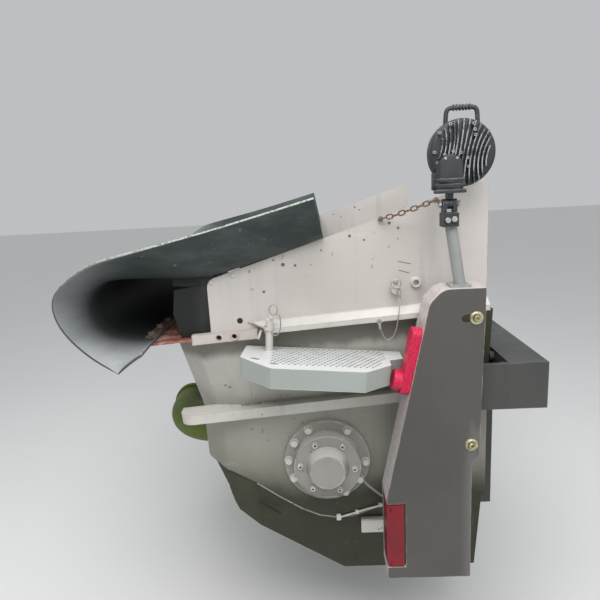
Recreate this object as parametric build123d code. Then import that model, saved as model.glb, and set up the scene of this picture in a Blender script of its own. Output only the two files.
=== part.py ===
# Rear concrete hopper unit of a truck-mounted concrete pump: the steel tub that a mixer truck fills,
# with its agitator, swinging S-shaped valve tube, screen, clean-out door, delivery elbow, rubber splash
# apron, steps, work lamp and the cross frame with tail lamps that carries it.
# Lengths are millimetres. X points to the front of the truck, Y to its left, Z up.
# The model is laid out from the agitator axis and moved at export so that the origin is the centre of
# the bolt pattern on the front of the cross frame.
import math
import os

from build123d import *

os.makedirs("parts", exist_ok=True)
FAR = 2000

# Tub: inclined with the pump, its walls bent and welded from plate
TILT = 3.7                   # slope of rim, rails and screen, rising to the front, degrees
TUB_REAR = -468              # outside of the upright rear wall
TUB_FRONT = 560              # outside of the front wall
TUB_HALF = 680               # outside of the side walls below the flare
WALL = 8
FRONT_WALL = 20
BEND = 215                   # plan radius of the two rear corners, bent in flats
CORNER_FLATS = 3
FLARE_FOOT = 200             # height where the walls start to lean out
FLARE = 8.6                  # lean of the flared side walls, degrees
REAR_FOOT = 120              # the rear wall starts to lean out lower down
REAR_LEAN = 13               # and leans further
RIM_Z = 497                  # rim height above the agitator axis, at X = 0
TROUGH_TOP = -60             # the sides taper in below this height
TROUGH_IN = 100              # how far each side has come in at the bottom
TUB_BOTTOM = -535
SPLIT_Z = 0                  # height of the weld between the upper walls and the trough
# Rear and bottom outline of the tub in the XZ plane, from the rear wall down to the flat bottom
REAR_OUTLINE = ((-700, 480), (-468, 40), (-456, 7), (-370, -119), (-336, -222), (-264, -303), (50, TUB_BOTTOM))

# Side doubler plates that carry the agitator bearings and wrap round the rear corners
DOUBLER = 10
DOUBLER_END = 420            # they end this far from the centre plane
# Their lower edge in the XZ plane, a shallow arc below the bearing
DOUBLER_EDGE = ((-FAR, -32), (-440, -32), (-355, -50), (-255, -89), (-178, -144), (-97, -196), (-35, -224),
                (30, -235), (85, -229), (129, -214), (195, -190), (300, -165), (FAR, -165))

# Stiffening band round the tub
BAND_TILT = 4.4              # slope of the band, degrees
BAND_Z = 216                 # middle of the band at X = 0
BAND_THICK = 36
BAND_OUT = 45                # how far it stands out of the side walls
BAND_REAR = 41               # and out of the rear wall, where each side ends in a stub
BAND_CORNER = 50
BAND_INNER = 647             # inner end of the stub, from the centre plane

# Splash plates and rails above the rim
PLATE = 6
PLATE_Y = TUB_HALF + 37      # inside face of the splash plates
PLATE_REAR = -368
PLATE_RISE = 17              # slope of the top edge, degrees
PLATE_REAR_Z = 668           # height of the top edge at the rear end
PLATE_CORNER = 36
RAIL_OUT = 43
RAIL_HIGH = 42
RAIL_FACE = 22               # the upright part of the rail's outer face ends here
RAIL_FOOT = 5                # and starts here
RAIL_CREST = 16
RAIL_REAR = -243
RAIL_MITRE = 66              # its rear end is cut obliquely, this much over its width
RAIL_SHEET = 5

# Rear lip that holds the apron, with a bar along each side
LIP_REAR = -640
LIP = 8
CHEEK = 21
CHEEK_HIGH = 20              # top and bottom of the bar from the rim
CHEEK_LOW = -14
CHEEK_REAR = -430
CHEEK_HOLES = (-339, -287)
CHEEK_HOLE_R = 9
LIP_HALF = PLATE_Y + PLATE + CHEEK

# Rubber apron, rolled up over the tub for the road
RUBBER = 10
ROLL_X = -659
ROLL_Z = 588
ROLL_R = 112
APRON_FRONT = -552           # front end of the lower leg, on the lip
APRON_LIFT = -598            # here it leaves the lip
APRON_END = 18               # front end of the upper leg
APRON_HALF = LIP_HALF - CHEEK - 1   # half width of the part clamped to the lip
MARGIN_START = LIP_HALF + 2  # the margins turn out from here
MARGIN_END = MARGIN_START + 99
GAP = 0.3                    # fit between pieces that only rest or slip together
WING = 6                     # rubber wings between splash plates and roll
STRIP = 8                    # clamp strip on the lip
STRIP_WIDE = 38

# Bearings of the agitator
FLANGE_R = 150
FLANGE = 16
HOUSING_R = 114
SEAT_R = 90
HOUSING_DEEP = 46
CAP_R = 74
CAP_DEEP = 38
CAP_TOP_R = 60
RUNNING = 0.1                # radial running clearance

# Agitator
SHAFT_R = 32
PADDLE_SWEEP = 292
PADDLE_PLACES = ((-546, 0), (-434, 120), (-322, 240), (322, 60), (434, 180), (546, 300))  # y, angle
ARM_WIDE = 46
ARM = 18
BLADE_LONG = 120
BLADE_HIGH = 84
BLADE = 12
BLADE_TURN = 28
HUB_R = 50
HUB_LONG = 62

# S-shaped valve tube
VALVE_Z = -165               # swing axis
VALVE_REACH = 200            # from swing axis to port centre
PORT_Y = 120                 # the two ports lie this far from the centre plane
TUBE_R = 108
TUBE_BORE = 90
TUBE_REAR = -476
RING_R = 122
RING_LONG = 34
VALVE_GAP = 0.6
SWING_SHAFT_R = 34
LEVER_REACH = 235
LEVER = 28
EYE_R = 46
EYE_BORE = 20

# Front wall fittings
PORT_R = 100
SPIGOT_R = 116
SPECTACLE = 20
SPIGOT_END = 640
BUSH_R = 62
BUSH_FLANGE_R = 80

# Outlet and delivery elbow
SLEEVE_R = 128
SLEEVE_END = -478
SLEEVE_INNER = -172
COUPLING_R = 172
COUPLING = 18
ELBOW_R = 92
ELBOW_BORE = 76
ELBOW_BEND = 175
ELBOW_TAIL = 110
COLLAR_R = 104
COLLAR = 24
HINGE_Y = -202
HINGE_PIN_R = 11
KNUCKLE_R = 21

# Screen
BAR = 10
BAR_HIGH = 44
BAR_PITCH = 74
CROSS_HIGH = 22
CROSS_WIDE = 14
SCREEN_DROP = 22             # top of the bars below the rim
SCREEN_SIDE = 676
LEAF_SPLIT = 50
LEAF_GAP = 12
SCREEN_FRONT = 506
LEDGE = 36
LEDGE_THICK = 10
HINGE_X = 522
HINGE_R = 9

# Clean-out door in the flat bottom
DOOR_X = 385
DOOR_HOLE_X = 190
DOOR_HOLE_Y = 220
DOOR_LAP = 38
DOOR = 14
DOOR_HINGE_X = 236
DOOR_HINGE_DROP = 20
DOOR_PIN_R = 9

# Steps
# Plan of a step's free edges, X and distance from the centre plane
STEP_PLAN = ((-259, 722), (-264, 846), (-160, 940), (122, 940), (205, 866), (206, 820), (252, 796), (252, 722))
STEP_TOP = 420               # tread height at X = 0
STEP_DROOP = 5               # the step falls towards the front, degrees
STEP_HIGH = 64
STEP_BRACKETS = (-189, 134)
TREAD = 5
STEP_WALL = 5

# Cross frame with tail lamp plates
BEAM_X = 575
BEAM_DEEP = 120
BEAM_LOW = 236
BEAM_HIGH = 150
BEAM_WALL = 10
END_Y = 838
END = 12
END_REAR = 396
END_LOW = 70
MOUNT_DX = 400               # bolt spacing across, half
MOUNT_DZ = 50
MOUNT_HOLE_R = 11
LAMP_Y = 888                 # inside face of the tail lamp plate
LAMP_PLATE = 4
LAMP_FLANGE = 108             # width of its rearward flange
LAMP_OUTLINE = ((184, -330), (184, -42), (322, 596), (362, 636), (486, 636), (474, 104), (452, 78), (452, -330))
LAMP_BOLTS = ((457, 546), (448, 143))
SPACER_R = 14

# Tail lamps
STOP_TOP = (257, 515)        # upper end of the stop lamp on the flange, X and Z
STOP_LONG = 214
STOP_DEEP = 30
STOP_WIDE = 56
ROUND_R = 32
ROUND_DEEP = 26
REAR_LAMP_DEEP = 54
REAR_LAMP_WIDE = 92
REAR_LAMP_TOP = -62

# Work lamp on its post
POST_X = 417
POST_Y = -860
POST_R = 17
POST_LEAN = -33              # how far the post's head leans to the rear
POST_LONG = 206
TILT_Z = 880                 # height of the lamp's tilt pin
TILT_PIN_R = 6
LAMP_AT = (427, -820, 1022)
LAMP_R = 96
LAMP_DEEP = 46
KNUCKLE_TOP = 984            # centre of the rounded bracket behind the lamp
KNUCKLE_HALF = 34
HANDLE_HALF = 46
HANDLE_HIGH = 126

# Where the origin goes: the centre of the frame's bolt pattern
MOUNT_X = BEAM_X + BEAM_DEEP
MOUNT_Z = BEAM_LOW + BEAM_HIGH / 2
TO_ORIGIN = Pos(-MOUNT_X, 0, -MOUNT_Z)


def rad(degrees):
    return math.radians(degrees)


def rise(x, slope=TILT):
    """Height gained over x on a line with that slope."""
    return x * math.tan(rad(slope))


def flare_at(z):
    return (z - FLARE_FOOT) * math.tan(rad(FLARE))


def save(name, shape):
    parts = shape if isinstance(shape, (list, tuple)) else [shape]
    solids = [s for p in parts for s in p.solids()]
    moved = [TO_ORIGIN * s for s in solids]
    whole = moved[0] if len(moved) == 1 else Compound(children=moved)
    export_step(whole, f"parts/{name}.step")


def block(x0, x1, y0, y1, z0, z1):
    return Pos((x0 + x1) / 2, (y0 + y1) / 2, (z0 + z1) / 2) * Box(abs(x1 - x0), abs(y1 - y0), abs(z1 - z0))


def rod(start, end, radius, bore=0):
    """Round bar or tube between two points."""
    a, b = Vector(*start), Vector(*end)
    frame = Plane(origin=a, z_dir=(b - a))
    face = Circle(radius) - Circle(bore) if bore else Circle(radius)
    return extrude(frame * face, (b - a).length)


def side_profile(points, y0, y1):
    """Solid from an XZ outline, between two Y planes."""
    face = make_face(Polyline([(x, 0, z) for x, z in points], close=True))
    return extrude(Pos(0, min(y0, y1), 0) * face, abs(y1 - y0), dir=(0, 1, 0))


def tilted(z, shape):
    """Sets a shape made about the origin on the tub's slope, at height z."""
    return Pos(0, 0, z) * Rot(0, -TILT, 0) * shape


def both_sides(shape):
    return {"right": shape, "left": mirror(shape, Plane.XZ)}


# Tub walls
def plan(rear, front, half, bend):
    """Plan outline of the tub with its rear corners bent in flats."""
    turn = [90 + 90 * i / CORNER_FLATS for i in range(CORNER_FLATS + 1)]
    corner = [(rear + bend + bend * math.cos(rad(a)), half - bend + bend * math.sin(rad(a))) for a in turn]
    points = [(front, half)] + corner
    points += [(x, -y) for x, y in reversed(points)]
    return make_face(Polyline(points, close=True))


def rear_outline():
    """Everything in front of the rear wall and above the sloping bottom, in the XZ plane."""
    outline = list(REAR_OUTLINE) + [(FAR * 2, TUB_BOTTOM), (FAR * 2, FAR), (REAR_OUTLINE[0][0], FAR)]
    return make_face(Polyline([(x, 0, z) for x, z in outline], close=True))


def tub_body(inset):
    """The tub as a solid, every face moved in by inset."""
    front = TUB_FRONT + (FAR if inset else 0)
    levels = []
    for z in (TUB_BOTTOM - 20, REAR_FOOT, FLARE_FOOT, RIM_Z + 120):
        rear = TUB_REAR + inset - max(z - REAR_FOOT, 0) * math.tan(rad(REAR_LEAN))
        half = TUB_HALF - inset + flare_at(max(z, FLARE_FOOT))
        levels.append(Pos(0, 0, z) * plan(rear, front, half, BEND - inset))
    body = loft(levels, ruled=True)
    keep = rear_outline()
    taper = TROUGH_IN / (TROUGH_TOP - TUB_BOTTOM)
    low = TUB_BOTTOM - 100
    edge = TUB_HALF - taper * (TROUGH_TOP - low)
    across = [(edge, low), (TUB_HALF, TROUGH_TOP), (FAR, TROUGH_TOP), (FAR, FAR)]
    across += [(-y, z) for y, z in reversed(across)]
    keep_across = make_face(Polyline([(0, y, z) for y, z in across], close=True))
    if inset:
        keep = offset(keep, -inset, kind=Kind.INTERSECTION)
        keep_across = offset(keep_across, -inset, kind=Kind.INTERSECTION)
    body &= extrude(Pos(0, -FAR, 0) * keep, 2 * FAR, dir=(0, 1, 0))
    body &= extrude(Pos(-FAR, 0, 0) * keep_across, 3 * FAR, dir=(1, 0, 0))
    return body


above_rim = tilted(RIM_Z, Pos(0, 0, FAR / 2) * Box(3 * FAR, 3 * FAR, FAR))
outer = tub_body(0) - above_rim
inner = tub_body(WALL)
shell = outer - inner
corner_x = TUB_REAR + BEND
wall_front = TUB_FRONT - FRONT_WALL

rear_wall = shell & block(-FAR, corner_x, -FAR, FAR, SPLIT_Z, FAR)
side_right = shell & block(corner_x, wall_front, -FAR, 0, SPLIT_Z, FAR)
trough = shell & block(-FAR, wall_front, -FAR, FAR, -FAR, SPLIT_Z)
front_wall = outer & block(wall_front, TUB_FRONT, -FAR, FAR, -FAR, FAR)

# Openings in the front wall: two delivery ports and the swing shaft
port_z = VALVE_Z - math.sqrt(VALVE_REACH**2 - PORT_Y**2)
for y in (-PORT_Y, PORT_Y):
    front_wall -= rod((wall_front - 1, y, port_z), (TUB_FRONT + 1, y, port_z), SPIGOT_R + GAP)
front_wall -= rod((wall_front - 1, 0, VALVE_Z), (TUB_FRONT + 1, 0, VALVE_Z), BUSH_R)

# Outlet through the rear and the clean-out hole
trough -= rod((-FAR, 0, VALVE_Z), (SLEEVE_INNER, 0, VALVE_Z), SLEEVE_R)
door_hole = block(DOOR_X - DOOR_HOLE_X / 2, DOOR_X + DOOR_HOLE_X / 2, -DOOR_HOLE_Y / 2, DOOR_HOLE_Y / 2,
                  TUB_BOTTOM - 5, TUB_BOTTOM + WALL + 5)
trough -= door_hole

# Seats of the agitator bearings
seat = rod((0, -FAR, 0), (0, FAR, 0), SEAT_R)
trough -= seat
side_right -= seat

save("front_wall", front_wall)
save("rear_wall", rear_wall)
save("trough", trough)
for side, shape in both_sides(side_right).items():
    save(f"side_wall_{side}", shape)

# Stiffening band: a bar along each side, flush with the walls, that ends in a stub behind the rear corner
band_rear = TUB_REAR - BAND_REAR
band_half = TUB_HALF + BAND_OUT
slab = block(band_rear, TUB_FRONT + 20, -band_half, band_half, -BAND_THICK / 2, BAND_THICK / 2)
slab = fillet(slab.edges().filter_by(Axis.Z).sort_by(Axis.X)[:2], BAND_CORNER)
slab = Pos(0, 0, BAND_Z) * Rot(0, -BAND_TILT, 0) * slab - outer
band = slab & block(-FAR, TUB_FRONT, -FAR, -BAND_INNER, -FAR, FAR)
for side, shape in both_sides(band).items():
    save(f"band_{side}", shape)

# Doubler plates: flat outside, filled in behind where the trough tapers away, wrapped round the rear corners
skirt_plan = plan(TUB_REAR - DOUBLER, TUB_FRONT, TUB_HALF + DOUBLER, BEND + DOUBLER)
doubler = extrude(Pos(0, 0, TUB_BOTTOM) * skirt_plan, FLARE_FOOT - TUB_BOTTOM)
doubler &= side_profile(list(DOUBLER_EDGE) + [(FAR, FLARE_FOOT), (-FAR, FLARE_FOOT)], -FAR, -DOUBLER_END)
around = offset(rear_outline(), DOUBLER, kind=Kind.INTERSECTION)
doubler &= extrude(Pos(0, -FAR, 0) * around, 2 * FAR, dir=(0, 1, 0))
doubler -= outer
doubler -= band
doubler -= seat
for side, shape in both_sides(doubler).items():
    save(f"doubler_{side}", shape)


# Rear lip, welded on the rim, with a bar along each side that runs on under the rail
def rim_at(x):
    return RIM_Z + rise(x)


def lip_top(x):
    return rim_at(x) + LIP


lip_front = RAIL_REAR + RAIL_MITRE / 2
outline = [(x, rim_at(x) + z) for x, z in ((lip_front, 0), (lip_front, LIP), (LIP_REAR, LIP), (LIP_REAR, 0))]
lip = side_profile(outline, -LIP_HALF, LIP_HALF)
lip -= tub_body(WALL)
cheek = [(x, rim_at(x) + z) for x, z in ((lip_front, CHEEK_LOW), (lip_front, CHEEK_HIGH),
                                         (CHEEK_REAR, CHEEK_HIGH), (CHEEK_REAR, CHEEK_LOW))]
hole_z = (CHEEK_HIGH + CHEEK_LOW) / 2
for side in (-1, 1):
    lip += side_profile(cheek, side * LIP_HALF, side * (LIP_HALF - CHEEK))
    for x in CHEEK_HOLES:
        z = rim_at(x) + hole_z
        lip -= rod((x, side * (LIP_HALF - CHEEK / 2), z), (x, side * (LIP_HALF + 1), z), CHEEK_HOLE_R)
save("rear_lip", lip)


# Splash plates on the rim and the folded rails outside them
def plate_top(x):
    return PLATE_REAR_Z + rise(x - PLATE_REAR, PLATE_RISE)


outline = [(PLATE_REAR, rim_at(PLATE_REAR)), (wall_front, rim_at(wall_front)), (wall_front, plate_top(wall_front)),
           (PLATE_REAR, plate_top(PLATE_REAR))]
plate = side_profile(outline, -PLATE_Y - PLATE, -PLATE_Y)
rear_top = plate.edges().filter_by(Axis.Y).sort_by(Axis.X)[:2].sort_by(Axis.Z)[-1]
plate = fillet([rear_top], PLATE_CORNER)
plate -= lip
PIN_EYE_X, PIN_EYE_Z = 245, 614
plate += rod((PIN_EYE_X, -PLATE_Y - PLATE, PIN_EYE_Z), (PIN_EYE_X, -PLATE_Y - PLATE - 26, PIN_EYE_Z), 15)
for side, shape in both_sides(plate).items():
    save(f"splash_plate_{side}", shape)

y0 = PLATE_Y + PLATE
sheet = RAIL_SHEET
section = [(y0, RAIL_HIGH), (y0 + RAIL_CREST, RAIL_HIGH), (y0 + RAIL_OUT, RAIL_FACE), (y0 + RAIL_OUT, RAIL_FOOT),
           (y0 + RAIL_OUT - sheet, RAIL_FOOT), (y0 + RAIL_OUT - sheet, RAIL_FACE - 2),
           (y0 + RAIL_CREST - 2, RAIL_HIGH - sheet), (y0, RAIL_HIGH - sheet)]
rail_face = make_face(Polyline([(0, -y, z) for y, z in section], close=True))
rail = extrude(rail_face, 2 * FAR, dir=(1, 0, 0), both=True)
rail = tilted(RIM_Z, rail) & block(RAIL_REAR, wall_front, -FAR, FAR, -FAR, FAR)
mitre = [(RAIL_REAR + t * RAIL_MITRE, -y0 - t * RAIL_OUT) for t in (-1, 2)]
mitre += [(-FAR, mitre[1][1]), (-FAR, mitre[0][1])]
rail -= extrude(make_face(Polyline(mitre, close=True)), FAR, both=True)
for side, shape in both_sides(rail).items():
    save(f"rail_{side}", shape)

# Rubber apron: a roll whose margins turn outwards past the cheeks. Table columns: outer face of the
# roll (x, z), then the free edge of the margin (x, z).
def on_roll(angle):
    return ROLL_X + ROLL_R * math.cos(rad(angle)), ROLL_Z + ROLL_R * math.sin(rad(angle))


def on_leg(x):
    return x, plate_top(x) + (RUBBER + GAP) / math.cos(rad(PLATE_RISE))


apron_rows = (
    (*on_roll(-90), -647, 400),
    (*on_roll(-118), -717, 441),
    (*on_roll(-146), -789, 511),
    (*on_roll(-170), -828, 579),
    (*on_roll(-194), -834, 644),
    (*on_roll(-215), -804, 691),
    (*on_roll(-242), -702, 758),
    (*on_roll(-270), -622, 775),
    (-430, 684, -450, 812),
    (*on_leg(-330), -330, 838),
    (*on_leg(-150), -165, 879),
    (*on_leg(APRON_END), -5, 920),
)


def ribbon(points):
    """Closed outline of a strip of rubber whose outer face follows the points, thickness inwards."""
    inside = []
    for i, (x, z) in enumerate(points):
        ax, az = points[max(i - 1, 0)]
        bx, bz = points[min(i + 1, len(points) - 1)]
        long = math.hypot(bx - ax, bz - az)
        inside.append((x + (bz - az) / long * RUBBER, z - (bx - ax) / long * RUBBER))
    return list(points) + inside[::-1]


def strip(points, y0, y1):
    return side_profile(ribbon(points), y0, y1)


run = [(x, z) for x, z, _, _ in apron_rows]
edge = [(x, z) for _, _, x, z in apron_rows]
front, middle, lifted = [(x, lip_top(x) + GAP) for x in (APRON_FRONT, APRON_FRONT - 14, APRON_LIFT)]
narrow = [front, lifted] + run
wide = [middle, lifted] + run
edge = [(middle[0], middle[1] - 12), (lifted[0] - 6, lifted[1] - 32)] + edge
apron = strip(narrow, -APRON_HALF, APRON_HALF)
for side in (-1, 1):
    apron += strip(wide, side * APRON_HALF, side * MARGIN_START)
    near = make_face(Polyline([(x, side * MARGIN_START, z) for x, z in ribbon(wide)], close=True))
    far = make_face(Polyline([(x, side * MARGIN_END, z) for x, z in ribbon(edge)], close=True))
    apron += loft([near, far], ruled=True)
save("apron", apron)

# Clamp strip that holds the apron on the lip, and the wings that close the gap behind the splash plates
strip_front = APRON_FRONT - 6
strip_rear = strip_front - STRIP_WIDE
on_rubber = GAP + RUBBER
clamp = [(x, lip_top(x) + on_rubber + h) for x, h in ((strip_rear, GAP), (strip_front, GAP), (strip_front, STRIP),
                                                     (strip_rear, STRIP))]
save("apron_strip", side_profile(clamp, -APRON_HALF + 12, APRON_HALF - 12))
wing_front = PLATE_REAR + 66
outline = [(wing_front, lip_top(wing_front) + 1), (wing_front, 664), (PLATE_REAR + 10, 656), (-480, 640),
           (-490, 560), (-470, lip_top(-470) + 1)]
wing = side_profile(outline, -PLATE_Y, -PLATE_Y + WING)
for side, shape in both_sides(wing).items():
    save(f"wing_{side}", shape)

# Agitator bearings: flange, housing and cap on the right, an oil motor in place of the cap on the left
face = TUB_HALF + DOUBLER


def bearing(side):
    def ring(y0, y1, radius, bore=0):
        return rod((0, side * y0, 0), (0, side * y1, 0), radius, bore)

    body = ring(face, face + FLANGE, FLANGE_R)
    body += ring(face + FLANGE, face + FLANGE + HOUSING_DEEP, HOUSING_R)
    body += ring(face - 34, face, SEAT_R - GAP)
    end = face + FLANGE + HOUSING_DEEP
    if side < 0:
        cap = Solid.make_cone(CAP_R, CAP_TOP_R, CAP_DEEP)
        body += Pos(0, -end, 0) * Rot(90, 0, 0) * cap
    else:
        body += ring(end, end + 26, 78)
        body += ring(end + 26, end + 118, 62)
        body += block(-34, 34, end + 40, end + 100, 40, 92)
    body -= ring(face - 40, end - 8, SHAFT_R + RUNNING)
    return body


save("bearing_right", bearing(-1))
save("bearing_left_motor", bearing(1))

# Agitator: shaft with six hubs, two blades on each
agitator = rod((0, -face - 52, 0), (0, face + 52, 0), SHAFT_R)
for y, angle in PADDLE_PLACES:
    agitator += rod((0, y - HUB_LONG / 2, 0), (0, y + HUB_LONG / 2, 0), HUB_R)
    for turn in (angle, angle + 180):
        low = PADDLE_SWEEP - BLADE_HIGH
        arm = Pos(0, 0, (low + 20 + SHAFT_R) / 2) * Box(ARM, ARM_WIDE, low + 20 - SHAFT_R)
        blade = Pos(0, 0, low + BLADE_HIGH / 2 - 3) * Rot(0, 0, BLADE_TURN) * Box(BLADE, BLADE_LONG, BLADE_HIGH)
        agitator += Pos(0, y, 0) * Rot(0, turn, 0) * (arm + blade)
save("agitator", agitator)

# Valve tube. It is laid out with its port end at the bottom and then swung to the right-hand port.
swing = math.degrees(math.asin(PORT_Y / VALVE_REACH))
valve_axis = (0, 0, VALVE_Z)


def about_valve(angle, shape):
    return Pos(*valve_axis) * Rot(angle, 0, 0) * shape


port_face = wall_front - SPECTACLE
ring_end = port_face - VALVE_GAP
bends = [(TUBE_REAR, 0, 0), (-108, 0, 0), (310, 0, -VALVE_REACH), (ring_end - 4, 0, -VALVE_REACH)]
path = FilletPolyline(*bends, radius=260)
start = Plane(origin=bends[0], z_dir=(1, 0, 0))
tube = sweep(start * Circle(TUBE_R), path=path)
bore = sweep(start * Circle(TUBE_BORE), path=path)
tube += rod((ring_end - RING_LONG, 0, -VALVE_REACH), (ring_end, 0, -VALVE_REACH), RING_R)
bore += rod((ring_end - 8, 0, -VALVE_REACH), (ring_end + 1, 0, -VALVE_REACH), TUBE_BORE)
tube += rod((200, 0, 0), (TUB_FRONT + 98, 0, 0), SWING_SHAFT_R)
web = [(200, 0), (470, 0), (440, -VALVE_REACH), (300, -VALVE_REACH)]
tube += side_profile(web, -20, 20)
tube -= bore
save("valve_tube", about_valve(-swing, tube))

# Lever that the two swing cylinders push
lever_x = TUB_FRONT + 44
hub = Pos(0, 0, 0) * Circle(62)
arm = make_hull((Circle(62) + Pos(0, LEVER_REACH) * Circle(EYE_R)).edges())
lever = extrude(arm, LEVER)
lever -= Pos(0, LEVER_REACH, 0) * Cylinder(EYE_BORE, 4 * LEVER)
lever -= Cylinder(SWING_SHAFT_R, 4 * LEVER)
lever = Plane(origin=(lever_x, 0, 0), x_dir=(0, 1, 0), z_dir=(1, 0, 0)) * lever
save("swing_lever", about_valve(-swing, lever))

# Spectacle plate with the two cylinder spigots, and the bush of the swing shaft
circles = Pos(-PORT_Y, port_z) * Circle(SPIGOT_R + 22) + Pos(PORT_Y, port_z) * Circle(SPIGOT_R + 22)
front_plane = Plane(origin=(port_face, 0, 0), x_dir=(0, 1, 0), z_dir=(1, 0, 0))
spectacle = extrude(front_plane * make_hull(circles.edges()), SPECTACLE)
spectacle -= rod((port_face - 1, 0, VALVE_Z), (wall_front + 1, 0, VALVE_Z), SWING_SHAFT_R + 12)
for y in (-PORT_Y, PORT_Y):
    spectacle += rod((port_face, y, port_z), (SPIGOT_END, y, port_z), SPIGOT_R)
for y in (-PORT_Y, PORT_Y):
    spectacle -= rod((port_face - 1, y, port_z), (SPIGOT_END + 1, y, port_z), PORT_R)
save("port_plate", spectacle)

bush = rod((wall_front, 0, VALVE_Z), (TUB_FRONT, 0, VALVE_Z), BUSH_R - GAP)
bush += rod((TUB_FRONT, 0, VALVE_Z), (TUB_FRONT + 22, 0, VALVE_Z), BUSH_FLANGE_R)
bush -= rod((wall_front - 1, 0, VALVE_Z), (TUB_FRONT + 30, 0, VALVE_Z), SWING_SHAFT_R + RUNNING)
save("swing_bush", bush)

# Outlet sleeve through the rear of the trough, with its coupling and the elbow's hinge lugs
sleeve = rod((SLEEVE_END, 0, VALVE_Z), (SLEEVE_INNER, 0, VALVE_Z), SLEEVE_R)
sleeve += rod((SLEEVE_END, 0, VALVE_Z), (SLEEVE_END + COUPLING, 0, VALVE_Z), COUPLING_R)
hinge_x = SLEEVE_END - 14
for z0, z1 in ((26, 52), (-52, -26)):
    lug = block(hinge_x, SLEEVE_END + 60, HINGE_Y - 14, -COUPLING_R + 60, VALVE_Z + z0, VALVE_Z + z1)
    lug += rod((hinge_x, HINGE_Y, VALVE_Z + z0), (hinge_x, HINGE_Y, VALVE_Z + z1), KNUCKLE_R)
    sleeve += lug - block(-FAR, SLEEVE_END - GAP, HINGE_Y + 24, FAR, -FAR, FAR)
sleeve -= rod((SLEEVE_END - 1, 0, VALVE_Z), (SLEEVE_INNER + 1, 0, VALVE_Z), TUBE_R + RUNNING)
sleeve -= rod((hinge_x, HINGE_Y, VALVE_Z - 90), (hinge_x, HINGE_Y, VALVE_Z + 90), HINGE_PIN_R)
save("outlet_sleeve", sleeve)
pin = rod((hinge_x, HINGE_Y, VALVE_Z - 58), (hinge_x, HINGE_Y, VALVE_Z + 58), HINGE_PIN_R)
save("elbow_pin", pin)

# Delivery elbow, hinged to swing away from the outlet
elbow_face = SLEEVE_END - 1
turn_x = elbow_face - 56
centre = (turn_x, ELBOW_BEND, VALVE_Z)
tail_x = turn_x - ELBOW_BEND
path = FilletPolyline((turn_x + 1, 0, VALVE_Z), (tail_x, 0, VALVE_Z), (tail_x, ELBOW_BEND + ELBOW_TAIL, VALVE_Z),
                      radius=ELBOW_BEND)
start = Plane(origin=(turn_x + 1, 0, VALVE_Z), z_dir=(-1, 0, 0))
elbow = sweep(start * Circle(ELBOW_R), path=path)
hollow = sweep(start * Circle(ELBOW_BORE), path=path)
throat = Plane(origin=(elbow_face, 0, VALVE_Z), z_dir=(-1, 0, 0))
elbow += throat * Pos(0, 0, 28) * Solid.make_cone(TUBE_BORE + 16, ELBOW_R, 56).moved(Location((0, 0, -28)))
elbow += extrude(throat * Circle(COUPLING_R), COUPLING)
elbow += Pos(tail_x, ELBOW_BEND + ELBOW_TAIL - COLLAR / 2, VALVE_Z) * Rot(90, 0, 0) * Cylinder(COLLAR_R, COLLAR)
arm = block(hinge_x - 10, elbow_face - 2, HINGE_Y, -COUPLING_R + 30, VALVE_Z - 24, VALVE_Z + 24)
elbow += arm + rod((hinge_x, HINGE_Y, VALVE_Z - 24), (hinge_x, HINGE_Y, VALVE_Z + 24), KNUCKLE_R)
elbow -= hollow + throat * Solid.make_cone(TUBE_BORE, ELBOW_BORE, 56)
elbow -= rod((hinge_x, HINGE_Y, VALVE_Z - 30), (hinge_x, HINGE_Y, VALVE_Z + 30), HINGE_PIN_R + RUNNING)
save("delivery_elbow", elbow)


# Screen in two leaves on a ledge inside the rim. The rear leaf is bolted down, the front leaf lifts.
def slope_slab(top, thick):
    """Slab parallel to the rim, its top face that far below the rim."""
    return tilted(RIM_Z, Pos(0, 0, -top - thick / 2) * Box(2 * FAR, 2 * FAR, thick))


inside = tub_body(WALL)
ledge = (inside - tub_body(WALL + LEDGE)) & slope_slab(SCREEN_DROP + BAR_HIGH + 1, LEDGE_THICK)
ledge &= block(-FAR, wall_front, -FAR, FAR, -FAR, FAR)
save("screen_ledge", ledge)

room = tub_body(WALL + 14)
frame_room = tub_body(WALL + 26)
bar_slab = slope_slab(SCREEN_DROP, BAR_HIGH)
cross_slab = slope_slab(SCREEN_DROP + BAR_HIGH - CROSS_HIGH, CROSS_HIGH)


def leaf(x0, x1, end_bars, crosses):
    span = block(x0, x1, -FAR, FAR, -FAR, FAR)
    body = (room - frame_room) & bar_slab & span
    for x in end_bars:
        body += room & bar_slab & block(x, x + BAR + 2, -FAR, FAR, -FAR, FAR)
    for x in crosses:
        body += frame_room & cross_slab & block(x, x + CROSS_WIDE, -FAR, FAR, -FAR, FAR)
    field = bar_slab & frame_room & span
    count = int(SCREEN_SIDE / BAR_PITCH)
    for i in range(-count, count + 1):
        body += field & block(x0, x1, i * BAR_PITCH - BAR / 2, i * BAR_PITCH + BAR / 2, -FAR, FAR)
    return body


rear_leaf = leaf(-FAR, LEAF_SPLIT - LEAF_GAP / 2, (LEAF_SPLIT - LEAF_GAP / 2 - BAR - 2,), (-330, -210, -90))
save("screen_rear", rear_leaf)

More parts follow.
